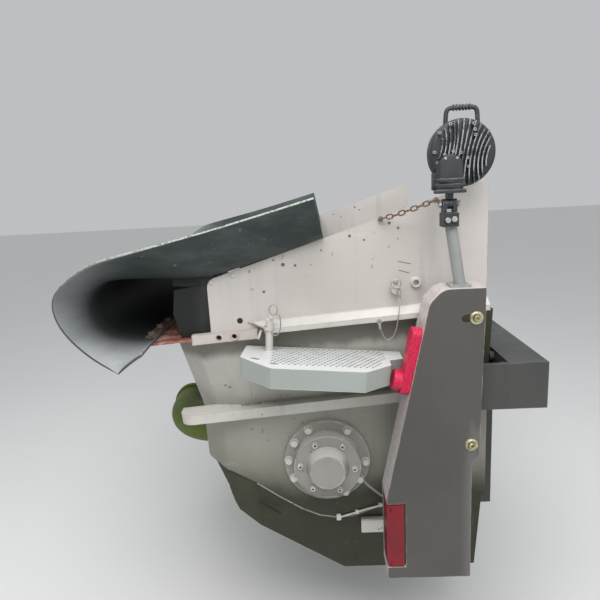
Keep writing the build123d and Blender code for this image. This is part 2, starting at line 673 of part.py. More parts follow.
front_leaf = leaf(LEAF_SPLIT + LEAF_GAP / 2, SCREEN_FRONT, (LEAF_SPLIT + LEAF_GAP / 2, SCREEN_FRONT - BAR - 2),
                  (170, 280, 390))
hinge_z = rim_at(HINGE_X) - SCREEN_DROP - 14
HINGE_PLACES = (-430, 430)
for y in HINGE_PLACES:
    front_leaf += block(SCREEN_FRONT - 2, HINGE_X, y - 20, y + 20, hinge_z - HINGE_R, hinge_z + HINGE_R)
    front_leaf += rod((HINGE_X, y - 44, hinge_z), (HINGE_X, y + 44, hinge_z), HINGE_R)
save("screen_front", front_leaf)
lugs = []
for y in HINGE_PLACES:
    for side in (-1, 1):
        middle = y + side * 32
        lug = block(HINGE_X, wall_front, middle - 8, middle + 8, hinge_z - 16, hinge_z + 16)
        lug += rod((HINGE_X, middle - 8, hinge_z), (HINGE_X, middle + 8, hinge_z), 16)
        lugs.append(lug - rod((HINGE_X, middle - 20, hinge_z), (HINGE_X, middle + 20, hinge_z), HINGE_R + RUNNING))
for side, pair in (("right", lugs[:2]), ("left", lugs[2:])):
    plate = block(wall_front - 4, wall_front, pair[0].center().Y - 12, pair[1].center().Y + 12,
                  hinge_z - 22, hinge_z + 22)
    save(f"screen_hinge_{side}", pair[0] + pair[1] + plate)

# Clean-out door under the flat bottom
door_z = TUB_BOTTOM - GAP
hinge_low = TUB_BOTTOM - DOOR_HINGE_DROP
door = block(DOOR_X - DOOR_HOLE_X / 2 - DOOR_LAP + 16, DOOR_X + DOOR_HOLE_X / 2 + DOOR_LAP,
             -DOOR_HOLE_Y / 2 - DOOR_LAP, DOOR_HOLE_Y / 2 + DOOR_LAP, door_z - DOOR, door_z)
for y in (-100, 100):
    arm = block(DOOR_HINGE_X, DOOR_HINGE_X + 60, y - 16, y + 16, hinge_low - 10, door_z - DOOR + 4)
    arm += rod((DOOR_HINGE_X, y - 16, hinge_low), (DOOR_HINGE_X, y + 16, hinge_low), 15)
    door += arm - block(DOOR_HINGE_X - 40, DOOR_HINGE_X + 20, -FAR, FAR, TUB_BOTTOM - 4, FAR)
door += block(DOOR_X + 40, DOOR_X + 62, -70, 70, door_z - DOOR - 26, door_z - DOOR)
for y in (-100, 100):
    door -= rod((DOOR_HINGE_X, y - 30, hinge_low), (DOOR_HINGE_X, y + 30, hinge_low), DOOR_PIN_R + RUNNING)
save("clean_out_door", door)
door_hinge = rod((DOOR_HINGE_X, -150, hinge_low), (DOOR_HINGE_X, 150, hinge_low), DOOR_PIN_R)
for y in (-137, -63, 63, 137):
    lug = block(DOOR_HINGE_X - 13, DOOR_HINGE_X + 13, y - 8, y + 8, hinge_low - 4, TUB_BOTTOM)
    door_hinge += lug + rod((DOOR_HINGE_X, y - 8, hinge_low), (DOOR_HINGE_X, y + 8, hinge_low), 15)
save("door_hinge", door_hinge)

# Steps: a folded tread open underneath, on two brackets against the tub
step_back = STEP_PLAN[0][1]
step_face = make_face(Polyline([(x, -y) for x, y in STEP_PLAN], close=True))
step_outer = extrude(step_face, STEP_HIGH)
step_outer = fillet([e for e in step_outer.edges().filter_by(Axis.Z) if e.center().Y < -step_back - 5], 10)
step = step_outer - Pos(0, 0, -TREAD) * extrude(offset(step_face, -STEP_WALL), STEP_HIGH)
for x in STEP_BRACKETS:
    step += block(x, x + 8, -820, -TUB_HALF, 8, STEP_HIGH - TREAD)
step = Pos(0, 0, STEP_TOP - STEP_HIGH) * Rot(0, STEP_DROOP, 0) * step
step -= outer
for side, shape in both_sides(step).items():
    save(f"step_{side}", shape)

# Cross frame behind the tub's front wall, with end plates
beam = block(BEAM_X, BEAM_X + BEAM_DEEP, -END_Y, END_Y, BEAM_LOW, BEAM_LOW + BEAM_HIGH)
beam -= block(BEAM_X + BEAM_WALL, BEAM_X + BEAM_DEEP - BEAM_WALL, -END_Y, END_Y,
              BEAM_LOW + BEAM_WALL, BEAM_LOW + BEAM_HIGH - BEAM_WALL)
for y in (-560, -200, 200, 560):
    beam += block(TUB_FRONT, BEAM_X, y - 60, y + 60, BEAM_LOW + 12, BEAM_LOW + BEAM_HIGH - 12)
mount_mid = BEAM_LOW + BEAM_HIGH / 2
for y in (-MOUNT_DX, MOUNT_DX):
    for z in (-MOUNT_DZ, MOUNT_DZ):
        beam -= rod((MOUNT_X - 30, y, mount_mid + z), (MOUNT_X + 1, y, mount_mid + z), MOUNT_HOLE_R)
save("cross_beam", beam)
for side, y in (("right", -1), ("left", 1)):
    leg = block(TUB_FRONT, TUB_FRONT + 90, y * 470, y * 485, -330, BEAM_LOW)
    leg += block(TUB_FRONT, TUB_FRONT + 12, y * 440, y * 515, -330, BEAM_LOW)
    save(f"frame_leg_{side}", leg)
end_top = max(z for _, z in LAMP_OUTLINE) - LAMP_PLATE
end_plate = side_profile([(END_REAR, end_top), (END_REAR, end_top - 120), (430, END_LOW), (470, END_LOW),
                          (474, BEAM_LOW), (MOUNT_X, BEAM_LOW), (MOUNT_X, BEAM_LOW + BEAM_HIGH),
                          (478, BEAM_LOW + BEAM_HIGH), (482, end_top)], -END_Y - END, -END_Y)
for x, z in LAMP_BOLTS:
    end_plate += rod((x, -END_Y - END, z), (x, -LAMP_Y, z), SPACER_R)
for side, shape in both_sides(end_plate).items():
    save(f"end_plate_{side}", shape)

# Tail lamp plates, their rear and top edges folded inwards, with a recess for the lower lamp
lamp_sheet = side_profile(LAMP_OUTLINE, -LAMP_Y - LAMP_PLATE, -LAMP_Y + LAMP_FLANGE)
bend_edges = [e for e in lamp_sheet.edges().filter_by(Axis.Y) if e.center().X < 400 and e.center().Z > 500]
lamp_sheet = fillet(bend_edges, 52)
hollow = Pos(LAMP_PLATE, LAMP_PLATE, -LAMP_PLATE) * lamp_sheet + Pos(FAR / 50, LAMP_PLATE, -LAMP_PLATE) * lamp_sheet
hollow += Pos(LAMP_PLATE, LAMP_PLATE, -FAR / 20) * lamp_sheet
hollow += Pos(FAR / 50, LAMP_PLATE, -FAR / 20) * lamp_sheet
lamp_sheet -= hollow
recess_x = LAMP_OUTLINE[0][0]
lamp_sheet -= block(recess_x - 1, recess_x + REAR_LAMP_DEEP + 6, -LAMP_Y - 10, -LAMP_Y + REAR_LAMP_WIDE + 4,
                    LAMP_OUTLINE[0][1] + 40, REAR_LAMP_TOP + 4)
for side, shape in both_sides(lamp_sheet).items():
    save(f"lamp_plate_{side}", shape)

# Tail lamps: a two-part stop lamp on the folded edge, a block lamp in the recess below
top_x, top_z = STOP_TOP
slope = math.degrees(math.atan2(LAMP_OUTLINE[2][0] - LAMP_OUTLINE[1][0], LAMP_OUTLINE[2][1] - LAMP_OUTLINE[1][1]))
mid_y = -LAMP_Y + STOP_WIDE / 2 + 2
low_z = LAMP_OUTLINE[1][1]
edge_x = LAMP_OUTLINE[1][0] + (top_z - STOP_LONG / 2 - low_z) * math.tan(rad(slope))
stop = Pos(-STOP_DEEP / 2, 0, 0) * Box(STOP_DEEP, STOP_WIDE, STOP_LONG)
stop = fillet(stop.edges().filter_by(Axis.X), 22)
stop += Pos(-STOP_DEEP - ROUND_DEEP / 2 + 1, 0, -STOP_LONG / 2 + ROUND_R + 8) * Rot(0, 90, 0) * Cylinder(
    ROUND_R, ROUND_DEEP)
stop = Pos(edge_x, mid_y, top_z - STOP_LONG / 2) * Rot(0, slope, 0) * stop
for side, shape in both_sides(stop).items():
    save(f"stop_lamp_{side}", shape)
block_lamp = block(recess_x, recess_x + REAR_LAMP_DEEP, -LAMP_Y - LAMP_PLATE, -LAMP_Y - LAMP_PLATE + REAR_LAMP_WIDE,
                   LAMP_OUTLINE[0][1] + 46, REAR_LAMP_TOP)
block_lamp = fillet(block_lamp.edges().filter_by(Axis.Z).sort_by(Axis.X)[:2], 12)
carrier = block(recess_x + 4, recess_x + REAR_LAMP_DEEP, -LAMP_Y, -LAMP_Y + REAR_LAMP_WIDE - 6,
                LAMP_OUTLINE[0][1] + 40, LAMP_OUTLINE[0][1] + 46)
for side, shape in both_sides(block_lamp + carrier).items():
    save(f"rear_lamp_{side}", shape)

# Work lamp: post on the right lamp plate, clamp with tilt pin, lamp
post_foot = end_top + LAMP_PLATE
head = (POST_X + POST_LEAN, POST_Y, post_foot + 8 + POST_LONG)
post = block(POST_X - 30, POST_X + 30, POST_Y - 16, POST_Y + 44, post_foot, post_foot + 8)
post += rod((POST_X, POST_Y, post_foot + 4), head, POST_R)
save("lamp_post", post - rod((POST_X, POST_Y, post_foot + 8), head, POST_R - 3))

tilt_x = head[0]
clamp = block(tilt_x - 22, tilt_x + 22, POST_Y - 26, POST_Y + 26, head[2] - 34, head[2] + 6)
clamp -= rod((POST_X, POST_Y, post_foot + 4), head, POST_R)
for side in (-1, 1):
    ear = block(tilt_x + side * 10, tilt_x + side * 20, POST_Y - 15, POST_Y + 15, head[2] + 6, TILT_Z)
    clamp += ear + rod((tilt_x + side * 10, POST_Y, TILT_Z), (tilt_x + side * 20, POST_Y, TILT_Z), 15)
clamp += rod((tilt_x - 24, POST_Y, TILT_Z), (tilt_x + 24, POST_Y, TILT_Z), TILT_PIN_R)
save("lamp_clamp", clamp)

lamp_x, lamp_y, lamp_z = LAMP_AT
back = lamp_y - LAMP_DEEP / 2
tongue = rod((tilt_x - 9, POST_Y, TILT_Z), (tilt_x + 9, POST_Y, TILT_Z), 14)
tongue += block(tilt_x - 9, tilt_x + 9, POST_Y - 14, POST_Y + 14, TILT_Z, TILT_Z + 30)
knuckle = block(tilt_x - KNUCKLE_HALF, tilt_x + KNUCKLE_HALF, POST_Y - 24, back + 1, TILT_Z + 20, KNUCKLE_TOP)
knuckle += rod((tilt_x, POST_Y - 24, KNUCKLE_TOP), (tilt_x, back + 1, KNUCKLE_TOP), KNUCKLE_HALF)
lamp = rod((lamp_x, back, lamp_z), (lamp_x, back + LAMP_DEEP, lamp_z), LAMP_R)
handle_z = lamp_z + HANDLE_HIGH
handle = rod((lamp_x - HANDLE_HALF, lamp_y, handle_z), (lamp_x + HANDLE_HALF, lamp_y, handle_z), 9)
for x in (lamp_x - HANDLE_HALF + 6, lamp_x + HANDLE_HALF - 6):
    handle += rod((x, lamp_y, lamp_z + 70), (x, lamp_y, handle_z), 7)
tongue -= rod((tilt_x - 30, POST_Y, TILT_Z), (tilt_x + 30, POST_Y, TILT_Z), TILT_PIN_R + RUNNING)
save("work_lamp", lamp + knuckle + handle + tongue)
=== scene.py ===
# Rear hopper of a concrete pump truck: the looks of its steel, rubber, lamps and fittings,
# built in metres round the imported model.
import math

import bmesh
import bpy
from mathutils import Matrix, Vector


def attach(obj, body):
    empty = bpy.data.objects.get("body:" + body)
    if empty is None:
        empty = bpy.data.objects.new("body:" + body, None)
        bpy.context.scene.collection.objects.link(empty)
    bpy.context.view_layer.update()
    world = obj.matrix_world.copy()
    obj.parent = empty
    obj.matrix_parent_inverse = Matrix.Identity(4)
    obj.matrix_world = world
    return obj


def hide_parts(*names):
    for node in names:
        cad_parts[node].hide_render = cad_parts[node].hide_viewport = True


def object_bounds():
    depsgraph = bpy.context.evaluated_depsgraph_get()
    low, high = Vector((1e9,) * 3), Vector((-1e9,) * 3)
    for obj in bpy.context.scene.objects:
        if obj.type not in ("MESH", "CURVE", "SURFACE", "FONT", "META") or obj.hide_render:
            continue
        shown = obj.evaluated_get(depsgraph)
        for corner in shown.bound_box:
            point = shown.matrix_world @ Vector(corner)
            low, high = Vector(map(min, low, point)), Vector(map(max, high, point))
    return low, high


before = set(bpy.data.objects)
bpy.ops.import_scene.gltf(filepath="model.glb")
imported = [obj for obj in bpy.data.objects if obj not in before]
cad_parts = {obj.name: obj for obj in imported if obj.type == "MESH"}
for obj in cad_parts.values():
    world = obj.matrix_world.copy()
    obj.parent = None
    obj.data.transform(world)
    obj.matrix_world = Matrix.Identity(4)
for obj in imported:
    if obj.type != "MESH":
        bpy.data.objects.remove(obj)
cad_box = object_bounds()

# Place on the hopper. The pieces are laid out in millimetres from the agitator's axis, as on a
# maker's drawing, and the model's origin is the bolt pattern on the cross beam.
BEAM_FACE = 695
BEAM_MIDDLE = 311


def place(x, y, z):
    return Vector(((x - BEAM_FACE) / 1000, y / 1000, (z - BEAM_MIDDLE) / 1000))


def at_x(x):
    return place(x, 0, 0).x


def at_z(z):
    return place(0, 0, z).z


# Camera: held at chest height behind the right-hand corner, tipped down and a little askew.
CAMERA_AT = place(-1, -2391, 944)
CAMERA_DOWN = math.radians(12)
CAMERA_LEFT = math.radians(2.2)
CAMERA_ROLL = math.radians(3.1)
LENS_PER_WIDTH = 520 / 600


def stand(name, data):
    """Object for a mesh, curve, camera or lamp."""
    thing = bpy.data.objects.new(name, data)
    bpy.context.collection.objects.link(thing)
    return thing


ahead = Vector((-math.sin(CAMERA_LEFT) * math.cos(CAMERA_DOWN), math.cos(CAMERA_LEFT) * math.cos(CAMERA_DOWN),
                -math.sin(CAMERA_DOWN)))
level = ahead.cross(Vector((0, 0, 1))).normalized()
upright = level.cross(ahead)
to_right = level * math.cos(CAMERA_ROLL) - upright * math.sin(CAMERA_ROLL)
to_top = level * math.sin(CAMERA_ROLL) + upright * math.cos(CAMERA_ROLL)
camera_data = bpy.data.cameras.new("camera")
camera_data.sensor_fit = "HORIZONTAL"
camera_data.lens = camera_data.sensor_width * LENS_PER_WIDTH
camera_data.clip_start = 0.05
camera = stand("camera", camera_data)
camera.matrix_world = Matrix.Translation(CAMERA_AT) @ Matrix((to_right, to_top, -ahead)).transposed().to_4x4()
bpy.context.scene.camera = camera


# Tub walls: warm light grey enamel, cloudy, darker towards the skirt from road grime and painted shade, with
# a painted shadow in a band under the rail, vertical runs, rust specks and edges rubbed through to the
# primer.
# The CAD nodes keep their own meshes.
def new_material(name):
    material = bpy.data.materials.new(name)
    material.use_nodes = True
    return material, material.node_tree.nodes["Principled BSDF"]


def link(source, target):
    """Feed a socket from another one, or set it to a number or a vector."""
    if isinstance(source, bpy.types.NodeSocket):
        source.id_data.links.new(source, target)
    else:
        target.default_value = source


def add(near, kind, **inputs):
    """A new shader node beside a node or socket that is there already, with its inputs."""
    node = near.id_data.nodes.new("ShaderNode" + kind)
    for name, source in inputs.items():
        link(source, node.inputs[name.replace("_", " ")])
    return node


def position(near, stretch=(1, 1, 1), turn=(0, 0, 0)):
    """Object coordinates, turned and stretched along the axes."""
    here = add(near, "TexCoord").outputs["Object"]
    return add(near, "Mapping", Vector=here, Rotation=turn, Scale=stretch).outputs["Vector"]


def noise(where, scale, detail=4, rough=0.55):
    return add(where, "TexNoise", Vector=where, Scale=scale, Detail=detail, Roughness=rough).outputs["Fac"]


def step_up(value, low, high, top=1.0):
    """0 below low, rising to top at high. With low above high it falls instead."""
    node = add(value, "MapRange", Value=value, From_Min=low, From_Max=high, To_Max=top)
    node.interpolation_type = "SMOOTHSTEP"
    return node.outputs["Result"]


def combine(operation, first, second):
    """A Math node between a socket and a socket or number."""
    node = add(first, "Math")
    node.operation = operation
    link(first, node.inputs[0])
    link(second, node.inputs[1])
    return node.outputs["Value"]


def times(first, second):
    return combine("MULTIPLY", first, second)


def plus(first, second):
    return combine("ADD", first, second)


def larger(first, second):
    return combine("MAXIMUM", first, second)


def size_of(value):
    return combine("ABSOLUTE", value, 0)


def xyz(vector):
    """The X, Y and Z of a vector, by name."""
    return add(vector, "SeparateXYZ", Vector=vector).outputs


def facing(near):
    """The way a face looks, as X, Y and Z."""
    return xyz(add(near, "NewGeometry").outputs["Normal"])


def tint(amount, under, over):
    """Colour over laid on colour under, by amount. Each colour is a tuple or a socket."""
    node = add(amount, "Mix")
    node.data_type = "RGBA"
    link(amount, node.inputs["Factor"])
    for colour, socket in ((under, node.inputs[6]), (over, node.inputs[7])):
        link((*colour, 1) if isinstance(colour, tuple) else colour, socket)
    return node.outputs[2]


def coat(shader, colour, rough, height=None, relief=0.1, deep=0.002, metal=0.0, specular=0.5):
    """Colour, roughness and, from a height, relief of a finish."""
    link(colour, shader.inputs["Base Color"])
    link(rough, shader.inputs["Roughness"])
    link(metal, shader.inputs["Metallic"])
    link(specular, shader.inputs["Specular IOR Level"])
    if height:
        node = add(height, "Bump", Height=height, Strength=relief, Distance=deep)
        link(node.outputs["Normal"], shader.inputs["Normal"])


def mottled(name, near, far, cells, detail, rough):
    """A flat dull finish that wavers between two colours."""
    material, shader = new_material(name)
    coat(shader, tint(noise(position(shader), cells, detail), near, far), rough)
    return material


def recoat(material):
    """Colour input of a finish that gets one more layer, and what feeds it."""
    paint = material.node_tree.nodes["Principled BSDF"].inputs["Base Color"]
    return paint, paint.links[0].from_socket


def edges(near, radius):
    """1 along the edges of the steel, 0 on its flats."""
    rounded = add(near, "Bevel", Radius=radius)
    rounded.samples = 4
    flat = add(near, "NewGeometry")
    along = add(near, "VectorMath")
    along.operation = "DOT_PRODUCT"
    link(rounded.outputs["Normal"], along.inputs[0])
    link(flat.outputs["Normal"], along.inputs[1])
    return step_up(along.outputs["Value"], 0.99, 0.86)


RUST = (0.115, 0.055, 0.032)
PRIMER = (0.20, 0.15, 0.12)


def enamel(name, colour, shade, gloss=0.42, specks=0.64, fade=(), streaks=0.5, wear_and_highlight=PRIMER, wear_and_highlight_amount=0.6,
           rim=0.006):
    """Painted steel, cloudy between colour and shade. Fade lists the levels, going down, where the paint
    turns
    darker: height on the hopper where each starts and where it is full, and its colour. On the tub and the
    hull
    that darkening is road grime and painted shade together. The edges take the edge colour by the given
    amount:
    rubbed-through primer or bare metal where that colour is dark, a painted highlight where it is pale; rim
    is how far it reaches in from them."""
    material, shader = new_material(name)
    here = position(shader)
    cloud = step_up(noise(here, 2.3, 6), 0.35, 0.7)
    paint = tint(cloud, colour, shade)
    level = plus(xyz(here)["Z"], times(noise(here, 3.5, 5), 0.12))
    for top, low, dirt_and_shade in fade:
        start, full = [at_z(z) + 0.06 for z in (top, low)]
        paint = tint(step_up(level, start, full), paint, dirt_and_shade)
    run = noise(position(shader, (9, 9, 0.7)), 2.2, 5)
    dark = add(shader, "HueSaturation", Color=paint, Value=0.66)
    paint = tint(step_up(run, 0.52, 0.85, streaks), paint, dark.outputs["Color"])
    scuff = noise(position(shader, (3, 3, 11)), 3.3, 7, 0.7)
    paint = tint(step_up(scuff, 0.60, 0.78, 0.35), paint, tuple(min(c * 1.25, 0.8) for c in colour))
    speck = step_up(noise(here, 55, 3, 0.6), specks, specks + 0.05)
    patch = step_up(noise(here, 3.1, 3), 0.5, 0.62)
    paint = tint(times(speck, patch), paint, RUST)
    ragged = step_up(noise(here, 26, 5, 0.7), 0.40, 0.62, wear_and_highlight_amount)
    paint = tint(times(edges(shader, rim), ragged), paint, wear_and_highlight)
    grain = noise(here, 18, 6, 0.65)
    rough = add(shader, "MapRange", Value=grain, To_Min=gloss - 0.12, To_Max=gloss + 0.22)
    coat(shader, paint, rough.outputs["Result"], plus(noise(here, 130, 3), times(grain, 2)), 0.12,
         specular=0.4)
    return material


def dress(material, *names):
    """The CAD nodes take this finish."""
    for name in names:
        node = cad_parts[name]
        node.data.materials.clear()
        node.data.materials.append(material)


# Darker going down: road grime and painted shade, darkest at the skirt.
tub_paint = enamel("tub_enamel", (0.47, 0.455, 0.415), (0.38, 0.365, 0.325),
                   fade=((330, 160, (0.29, 0.285, 0.245)), (60, -90, (0.19, 0.188, 0.15)),
                         (-40, -160, (0.026, 0.029, 0.014))))
RAIL_RISE = 0.064
# Painted shadow: a dark band on the wall just below the rail, sloping with it.
paint, clean = recoat(tub_paint)
spot = xyz(position(clean))
cloud = times(noise(position(clean, (4, 1, 1)), 4, 4), 0.05)
rail_shadow_level = plus(plus(spot["Z"], times(spot["X"], -RAIL_RISE)), cloud)
below = [at_z(z) - RAIL_RISE * at_x(0) + 0.025 for z in (405, 445)]
grime = step_up(rail_shadow_level, *below, 0.72)
link(tint(grime, clean, (0.070, 0.066, 0.048)), paint)
dress(tub_paint, "side_wall_right", "side_wall_left", "rear_wall", "doubler_right", "doubler_left")
band_paint = enamel("band_enamel", (0.60, 0.59, 0.54), (0.45, 0.44, 0.39), wear_and_highlight_amount=0.5)
dress(band_paint, "band_right", "band_left")

# Hull below the seam: the same grey under a crust of dried mortar and wet road dirt, almost black from that
# dirt and from painted shade, darker still lower down where the splashes reach.
hull_paint = enamel("hull_enamel", (0.046, 0.050, 0.027), (0.024, 0.027, 0.014), gloss=0.6, streaks=0.7,
                    fade=((-120, -330, (0.028, 0.031, 0.016)),), wear_and_highlight=(0.12, 0.09, 0.06))
dress(hull_paint, "trough", "front_wall", "clean_out_door", "door_hinge")

# Splash plates, rails and lip bars: the palest enamel, rubbed by the chute, with knocked chips down to
# rusty steel on the right-hand plate where the photograph shows them, and two long scratches.
CHIPS = ((230, 825, 5), (258, 808, 4), (104, 790, 4), (149, 775, 3), (-114, 708, 6), (-75, 704, 4),
         (-145, 725, 3), (-182, 622, 4))                     # X, Z, radius
SCRATCHES = ((253, 702, 301, 690), (256, 673, 294, 661))     # X, Z of both ends


def marks(paint, chips, scratches):
    """Rusty chips and scratches on paint, seen from the side."""
    here = position(paint)
    split = xyz(here)
    flat = add(paint, "CombineXYZ", X=split["X"], Z=split["Z"]).outputs["Vector"]
    ragged = times(noise(here, 150, 2), 0.006)
    for x, z, radius in chips:
        off = add(paint, "VectorMath")
        off.operation = "DISTANCE"
        link(flat, off.inputs[0])
        link(place(x, 0, z), off.inputs[1])
        far = plus(off.outputs["Value"], ragged)
        edge = radius / 1000 + 0.003
        paint = tint(step_up(far, edge + 0.001, edge - 0.0005, 0.9), paint, RUST)
    for x0, z0, x1, z1 in scratches:
        along = add(paint, "Mapping")
        along.vector_type = "TEXTURE"
        along.inputs["Location"].default_value = (at_x((x0 + x1) / 2), 0, at_z((z0 + z1) / 2))
        along.inputs["Rotation"].default_value = (0, -math.atan2(z1 - z0, x1 - x0), 0)
        link(flat, along.inputs["Vector"])
        off = xyz(along.outputs["Vector"])
        half = math.dist((x0, z0), (x1, z1)) / 2000
        inside = step_up(size_of(off["X"]), half, half * 0.8)
        beside = step_up(size_of(off["Z"]), 0.0022, 0.0008, 0.8)
        paint = tint(times(inside, beside), paint, RUST)
    return paint


plate_enamel = enamel("plate_enamel", (0.54, 0.508, 0.478), (0.45, 0.423, 0.39), specks=0.66, wear_and_highlight_amount=0.5)
paint, clean = recoat(plate_enamel)
link(marks(clean, CHIPS, SCRATCHES), paint)
dress(plate_enamel, "splash_plate_right", "splash_plate_left")
rail_enamel = enamel("rail_enamel", (0.57, 0.545, 0.515), (0.46, 0.44, 0.40), specks=0.62, wear_and_highlight_amount=0.8)
dress(rail_enamel, "rail_right", "rail_left", "screen_hinge_right", "screen_hinge_left")
lip_enamel = enamel("lip_enamel", (0.50, 0.465, 0.43), (0.33, 0.25, 0.21), specks=0.58, wear_and_highlight_amount=1.0,
                    wear_and_highlight=(0.27, 0.12, 0.08))
paint, clean = recoat(lip_enamel)
spot = xyz(position(clean))
oxide_edge = plus(spot["X"], times(noise(position(clean), 30, 4), 0.03))
bare = step_up(oxide_edge, at_x(-425) + 0.015, at_x(-436) + 0.015)
oxide = tint(step_up(noise(position(clean), 24, 6, 0.7), 0.45, 0.6), (0.24, 0.075, 0.055),
             (0.42, 0.25, 0.21))
link(tint(bare, clean, oxide), paint)
dress(lip_enamel, "rear_lip")


# Fasteners and trim on the splash plates: rivets, the welded eye, the boss on the cheek and the dark holes
# at the rear. Every blank is drawn in millimetres up its own Z and then seated on the hopper.
def turned(profile, steps=24):
    """A solid of revolution. The profile goes from the axis out and back: radius, height."""
    work = bmesh.new()
    corners = [work.verts.new((radius, 0, z)) for radius, z in profile]
    line = [work.edges.new(pair) for pair in zip(corners, corners[1:])]
    bmesh.ops.spin(work, geom=corners + line, axis=(0, 0, 1), cent=(0, 0, 0), angle=math.tau, steps=steps,
                   use_merge=True)
    bmesh.ops.remove_doubles(work, verts=work.verts, dist=0.01)
    return work


def bar(size, round_off):
    """A rectangular bar with rounded edges, its middle at the foot."""
    work = bmesh.new()
    bmesh.ops.create_cube(work, size=1)
    bmesh.ops.scale(work, verts=work.verts, vec=size)
    bmesh.ops.bevel(work, geom=work.edges[:], affect="EDGES", offset=round_off, segments=2, profile=0.5,
                    material=-1)
    return work


HEAD_CHAMFER = 1.2


def hexagon(across, thick):
    """A bolt head or nut, chamfered at the top."""
    work = bmesh.new()
    radius = across / math.sqrt(3)
    bmesh.ops.create_cone(work, cap_ends=True, segments=6, radius1=radius, radius2=radius, depth=thick)
    bmesh.ops.translate(work, verts=work.verts, vec=(0, 0, thick / 2))
    top = [edge for edge in work.edges if all(vert.co.z > thick - 0.1 for vert in edge.verts)]
    bmesh.ops.bevel(work, geom=top, affect="EDGES", offset=HEAD_CHAMFER, segments=1, profile=0.5, material=-1)
    return work


def washer(radius, thick, steps=18):
    return turned([(0, thick), (radius, thick), (radius, 0)], steps)


def socket_screw(radius, high):
    """Cap screw with its key socket."""
    key = radius * 0.55
    floor = high * 0.4
    return turned([(0, floor), (key, floor), (key, high), (radius * 0.9, high), (radius, high * 0.88),
                   (radius, 0)], 16)


def mesh_of(work, name="carrier"):
    mesh = bpy.data.meshes.new(name)
    work.to_mesh(mesh)
    work.free()
    return mesh


def join(work, blank):
    """Add a blank to the work and drop it."""
    carrier = mesh_of(blank)
    work.from_mesh(carrier)
    bpy.data.meshes.remove(carrier)


UP = (0, 0, 1)
FORWARD = (1, 0, 0)


def seat(work, blank, foot, axis=(0, -1, 0), turn=0):
    """Add a blank to the work: its foot on the hopper, its own Z along the axis, turned about it."""
    way = Vector(axis).to_track_quat("Z", "Y").to_matrix().to_4x4()
    spin = Matrix.Rotation(math.radians(turn), 4, "Z")
    matrix = Matrix.Translation(place(*foot)) @ way @ spin @ Matrix.Scale(0.001, 4)
    bmesh.ops.transform(blank, matrix=matrix, verts=blank.verts)
    join(work, blank)


def around(radius, angle):
    """A point of a circle round the middle, angle in degrees from the first axis."""
    return radius * math.cos(math.radians(angle)), radius * math.sin(math.radians(angle))


CREASE = math.radians(32)


def piece(name, work, finish, body="hopper", both=False):
    """Finished object from the work, on the right-hand side or mirrored to both."""
    if both:
        bmesh.ops.mirror(work, geom=work.verts[:] + work.edges[:] + work.faces[:], matrix=Matrix.Identity(4),
                         merge_dist=0.00001, axis="Y")
    bmesh.ops.recalc_face_normals(work, faces=work.faces)
    mesh = mesh_of(work, name)
    mesh.shade_smooth()
    mesh.set_sharp_from_angle(angle=CREASE)
    mesh.materials.append(finish)
    thing = stand(name, mesh)
    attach(thing, body)
    return thing


def bent(name, points, radius, facets, fine, closed=False):
    """A round curve bent through points given on the hopper."""
    curve = bpy.data.curves.new(name, "CURVE")
    curve.dimensions = "3D"
    curve.bevel_depth = 1
    curve.bevel_resolution = facets
    curve.use_fill_caps = True
    spline = curve.splines.new("NURBS")
    spline.points.add(len(points) - 1)
    for point, at in zip(spline.points, points):
        point.co = (*place(*at), 1)
        point.radius = radius / 1000
    spline.use_cyclic_u = closed
    spline.order_u = 3
    spline.use_endpoint_u = not closed
    spline.resolution_u = fine
    return curve


def tube(work, points, radius, facets=2, closed=False):
    """A round bar added to the work."""
    curve = bent("carrier", points, radius, facets, 6, closed)
    carrier = bpy.data.objects.new("carrier", curve)
    mesh = bpy.data.meshes.new_from_object(carrier)
    work.from_mesh(mesh)
    bpy.data.meshes.remove(mesh)
    bpy.data.objects.remove(carrier)
    bpy.data.curves.remove(curve)


PLATE_FACE = -723
CHEEK_FACE = -744
CHEEK_HOLES = (-339, -287)
HOLE_DEEP = 9.6
RIVETS = ((-353, 661), (-281, 680))
EYE = (312, 630)

zinc, shader = new_material("zinc_plate")
here = position(shader)
shine = step_up(noise(here, 40, 5), 0.35, 0.7)
coat(shader, tint(shine, (0.42, 0.42, 0.41), (0.30, 0.29, 0.27)), 0.38, noise(here, 300, 3), 0.1, metal=0.6)

work = bmesh.new()
for x, z in RIVETS:
    seat(work, turned([(0, 4.5), (4, 4), (7, 2.2), (8.5, 0)], 16), (x, PLATE_FACE, z))
seat(work, turned([(9, 0), (9, 12), (11, 13.5), (14, 13.5), (15.5, 12), (15.5, 2), (19, 0)], 28),
     (EYE[0], PLATE_FACE, EYE[1]))
piece("plate_rivets", work, plate_enamel, both=True)


def on_cheek(x):
    """Height of the row of holes, which rises with the rail."""
    return 500 + RAIL_RISE * x


# Painted shade: dark discs stand for the shade inside the holes.
dark = mottled("shadow_hole", (0.015, 0.013, 0.011), (0.03, 0.024, 0.02), 90, 3, 0.9)
work = bmesh.new()
seat(work, turned([(0, 0.2), (6.5, 0.2), (7.5, 0.9), (9, 0.9), (10, 0)], 20), (-268, PLATE_FACE, 528))
for x in CHEEK_HOLES:
    seat(work, turned([(0, 0.3), (9, 0.3)], 20), (x, CHEEK_FACE + HOLE_DEEP, on_cheek(x)))
piece("drain_holes", work, dark, both=True)
work = bmesh.new()
seat(work, turned([(8, 0.5), (8, 3), (9.5, 4.2), (13, 4.2), (14.5, 3), (15, 0)], 28),
     (CHEEK_HOLES[1], CHEEK_FACE, on_cheek(CHEEK_HOLES[1])))
piece("cheek_boss", work, lip_enamel, both=True)


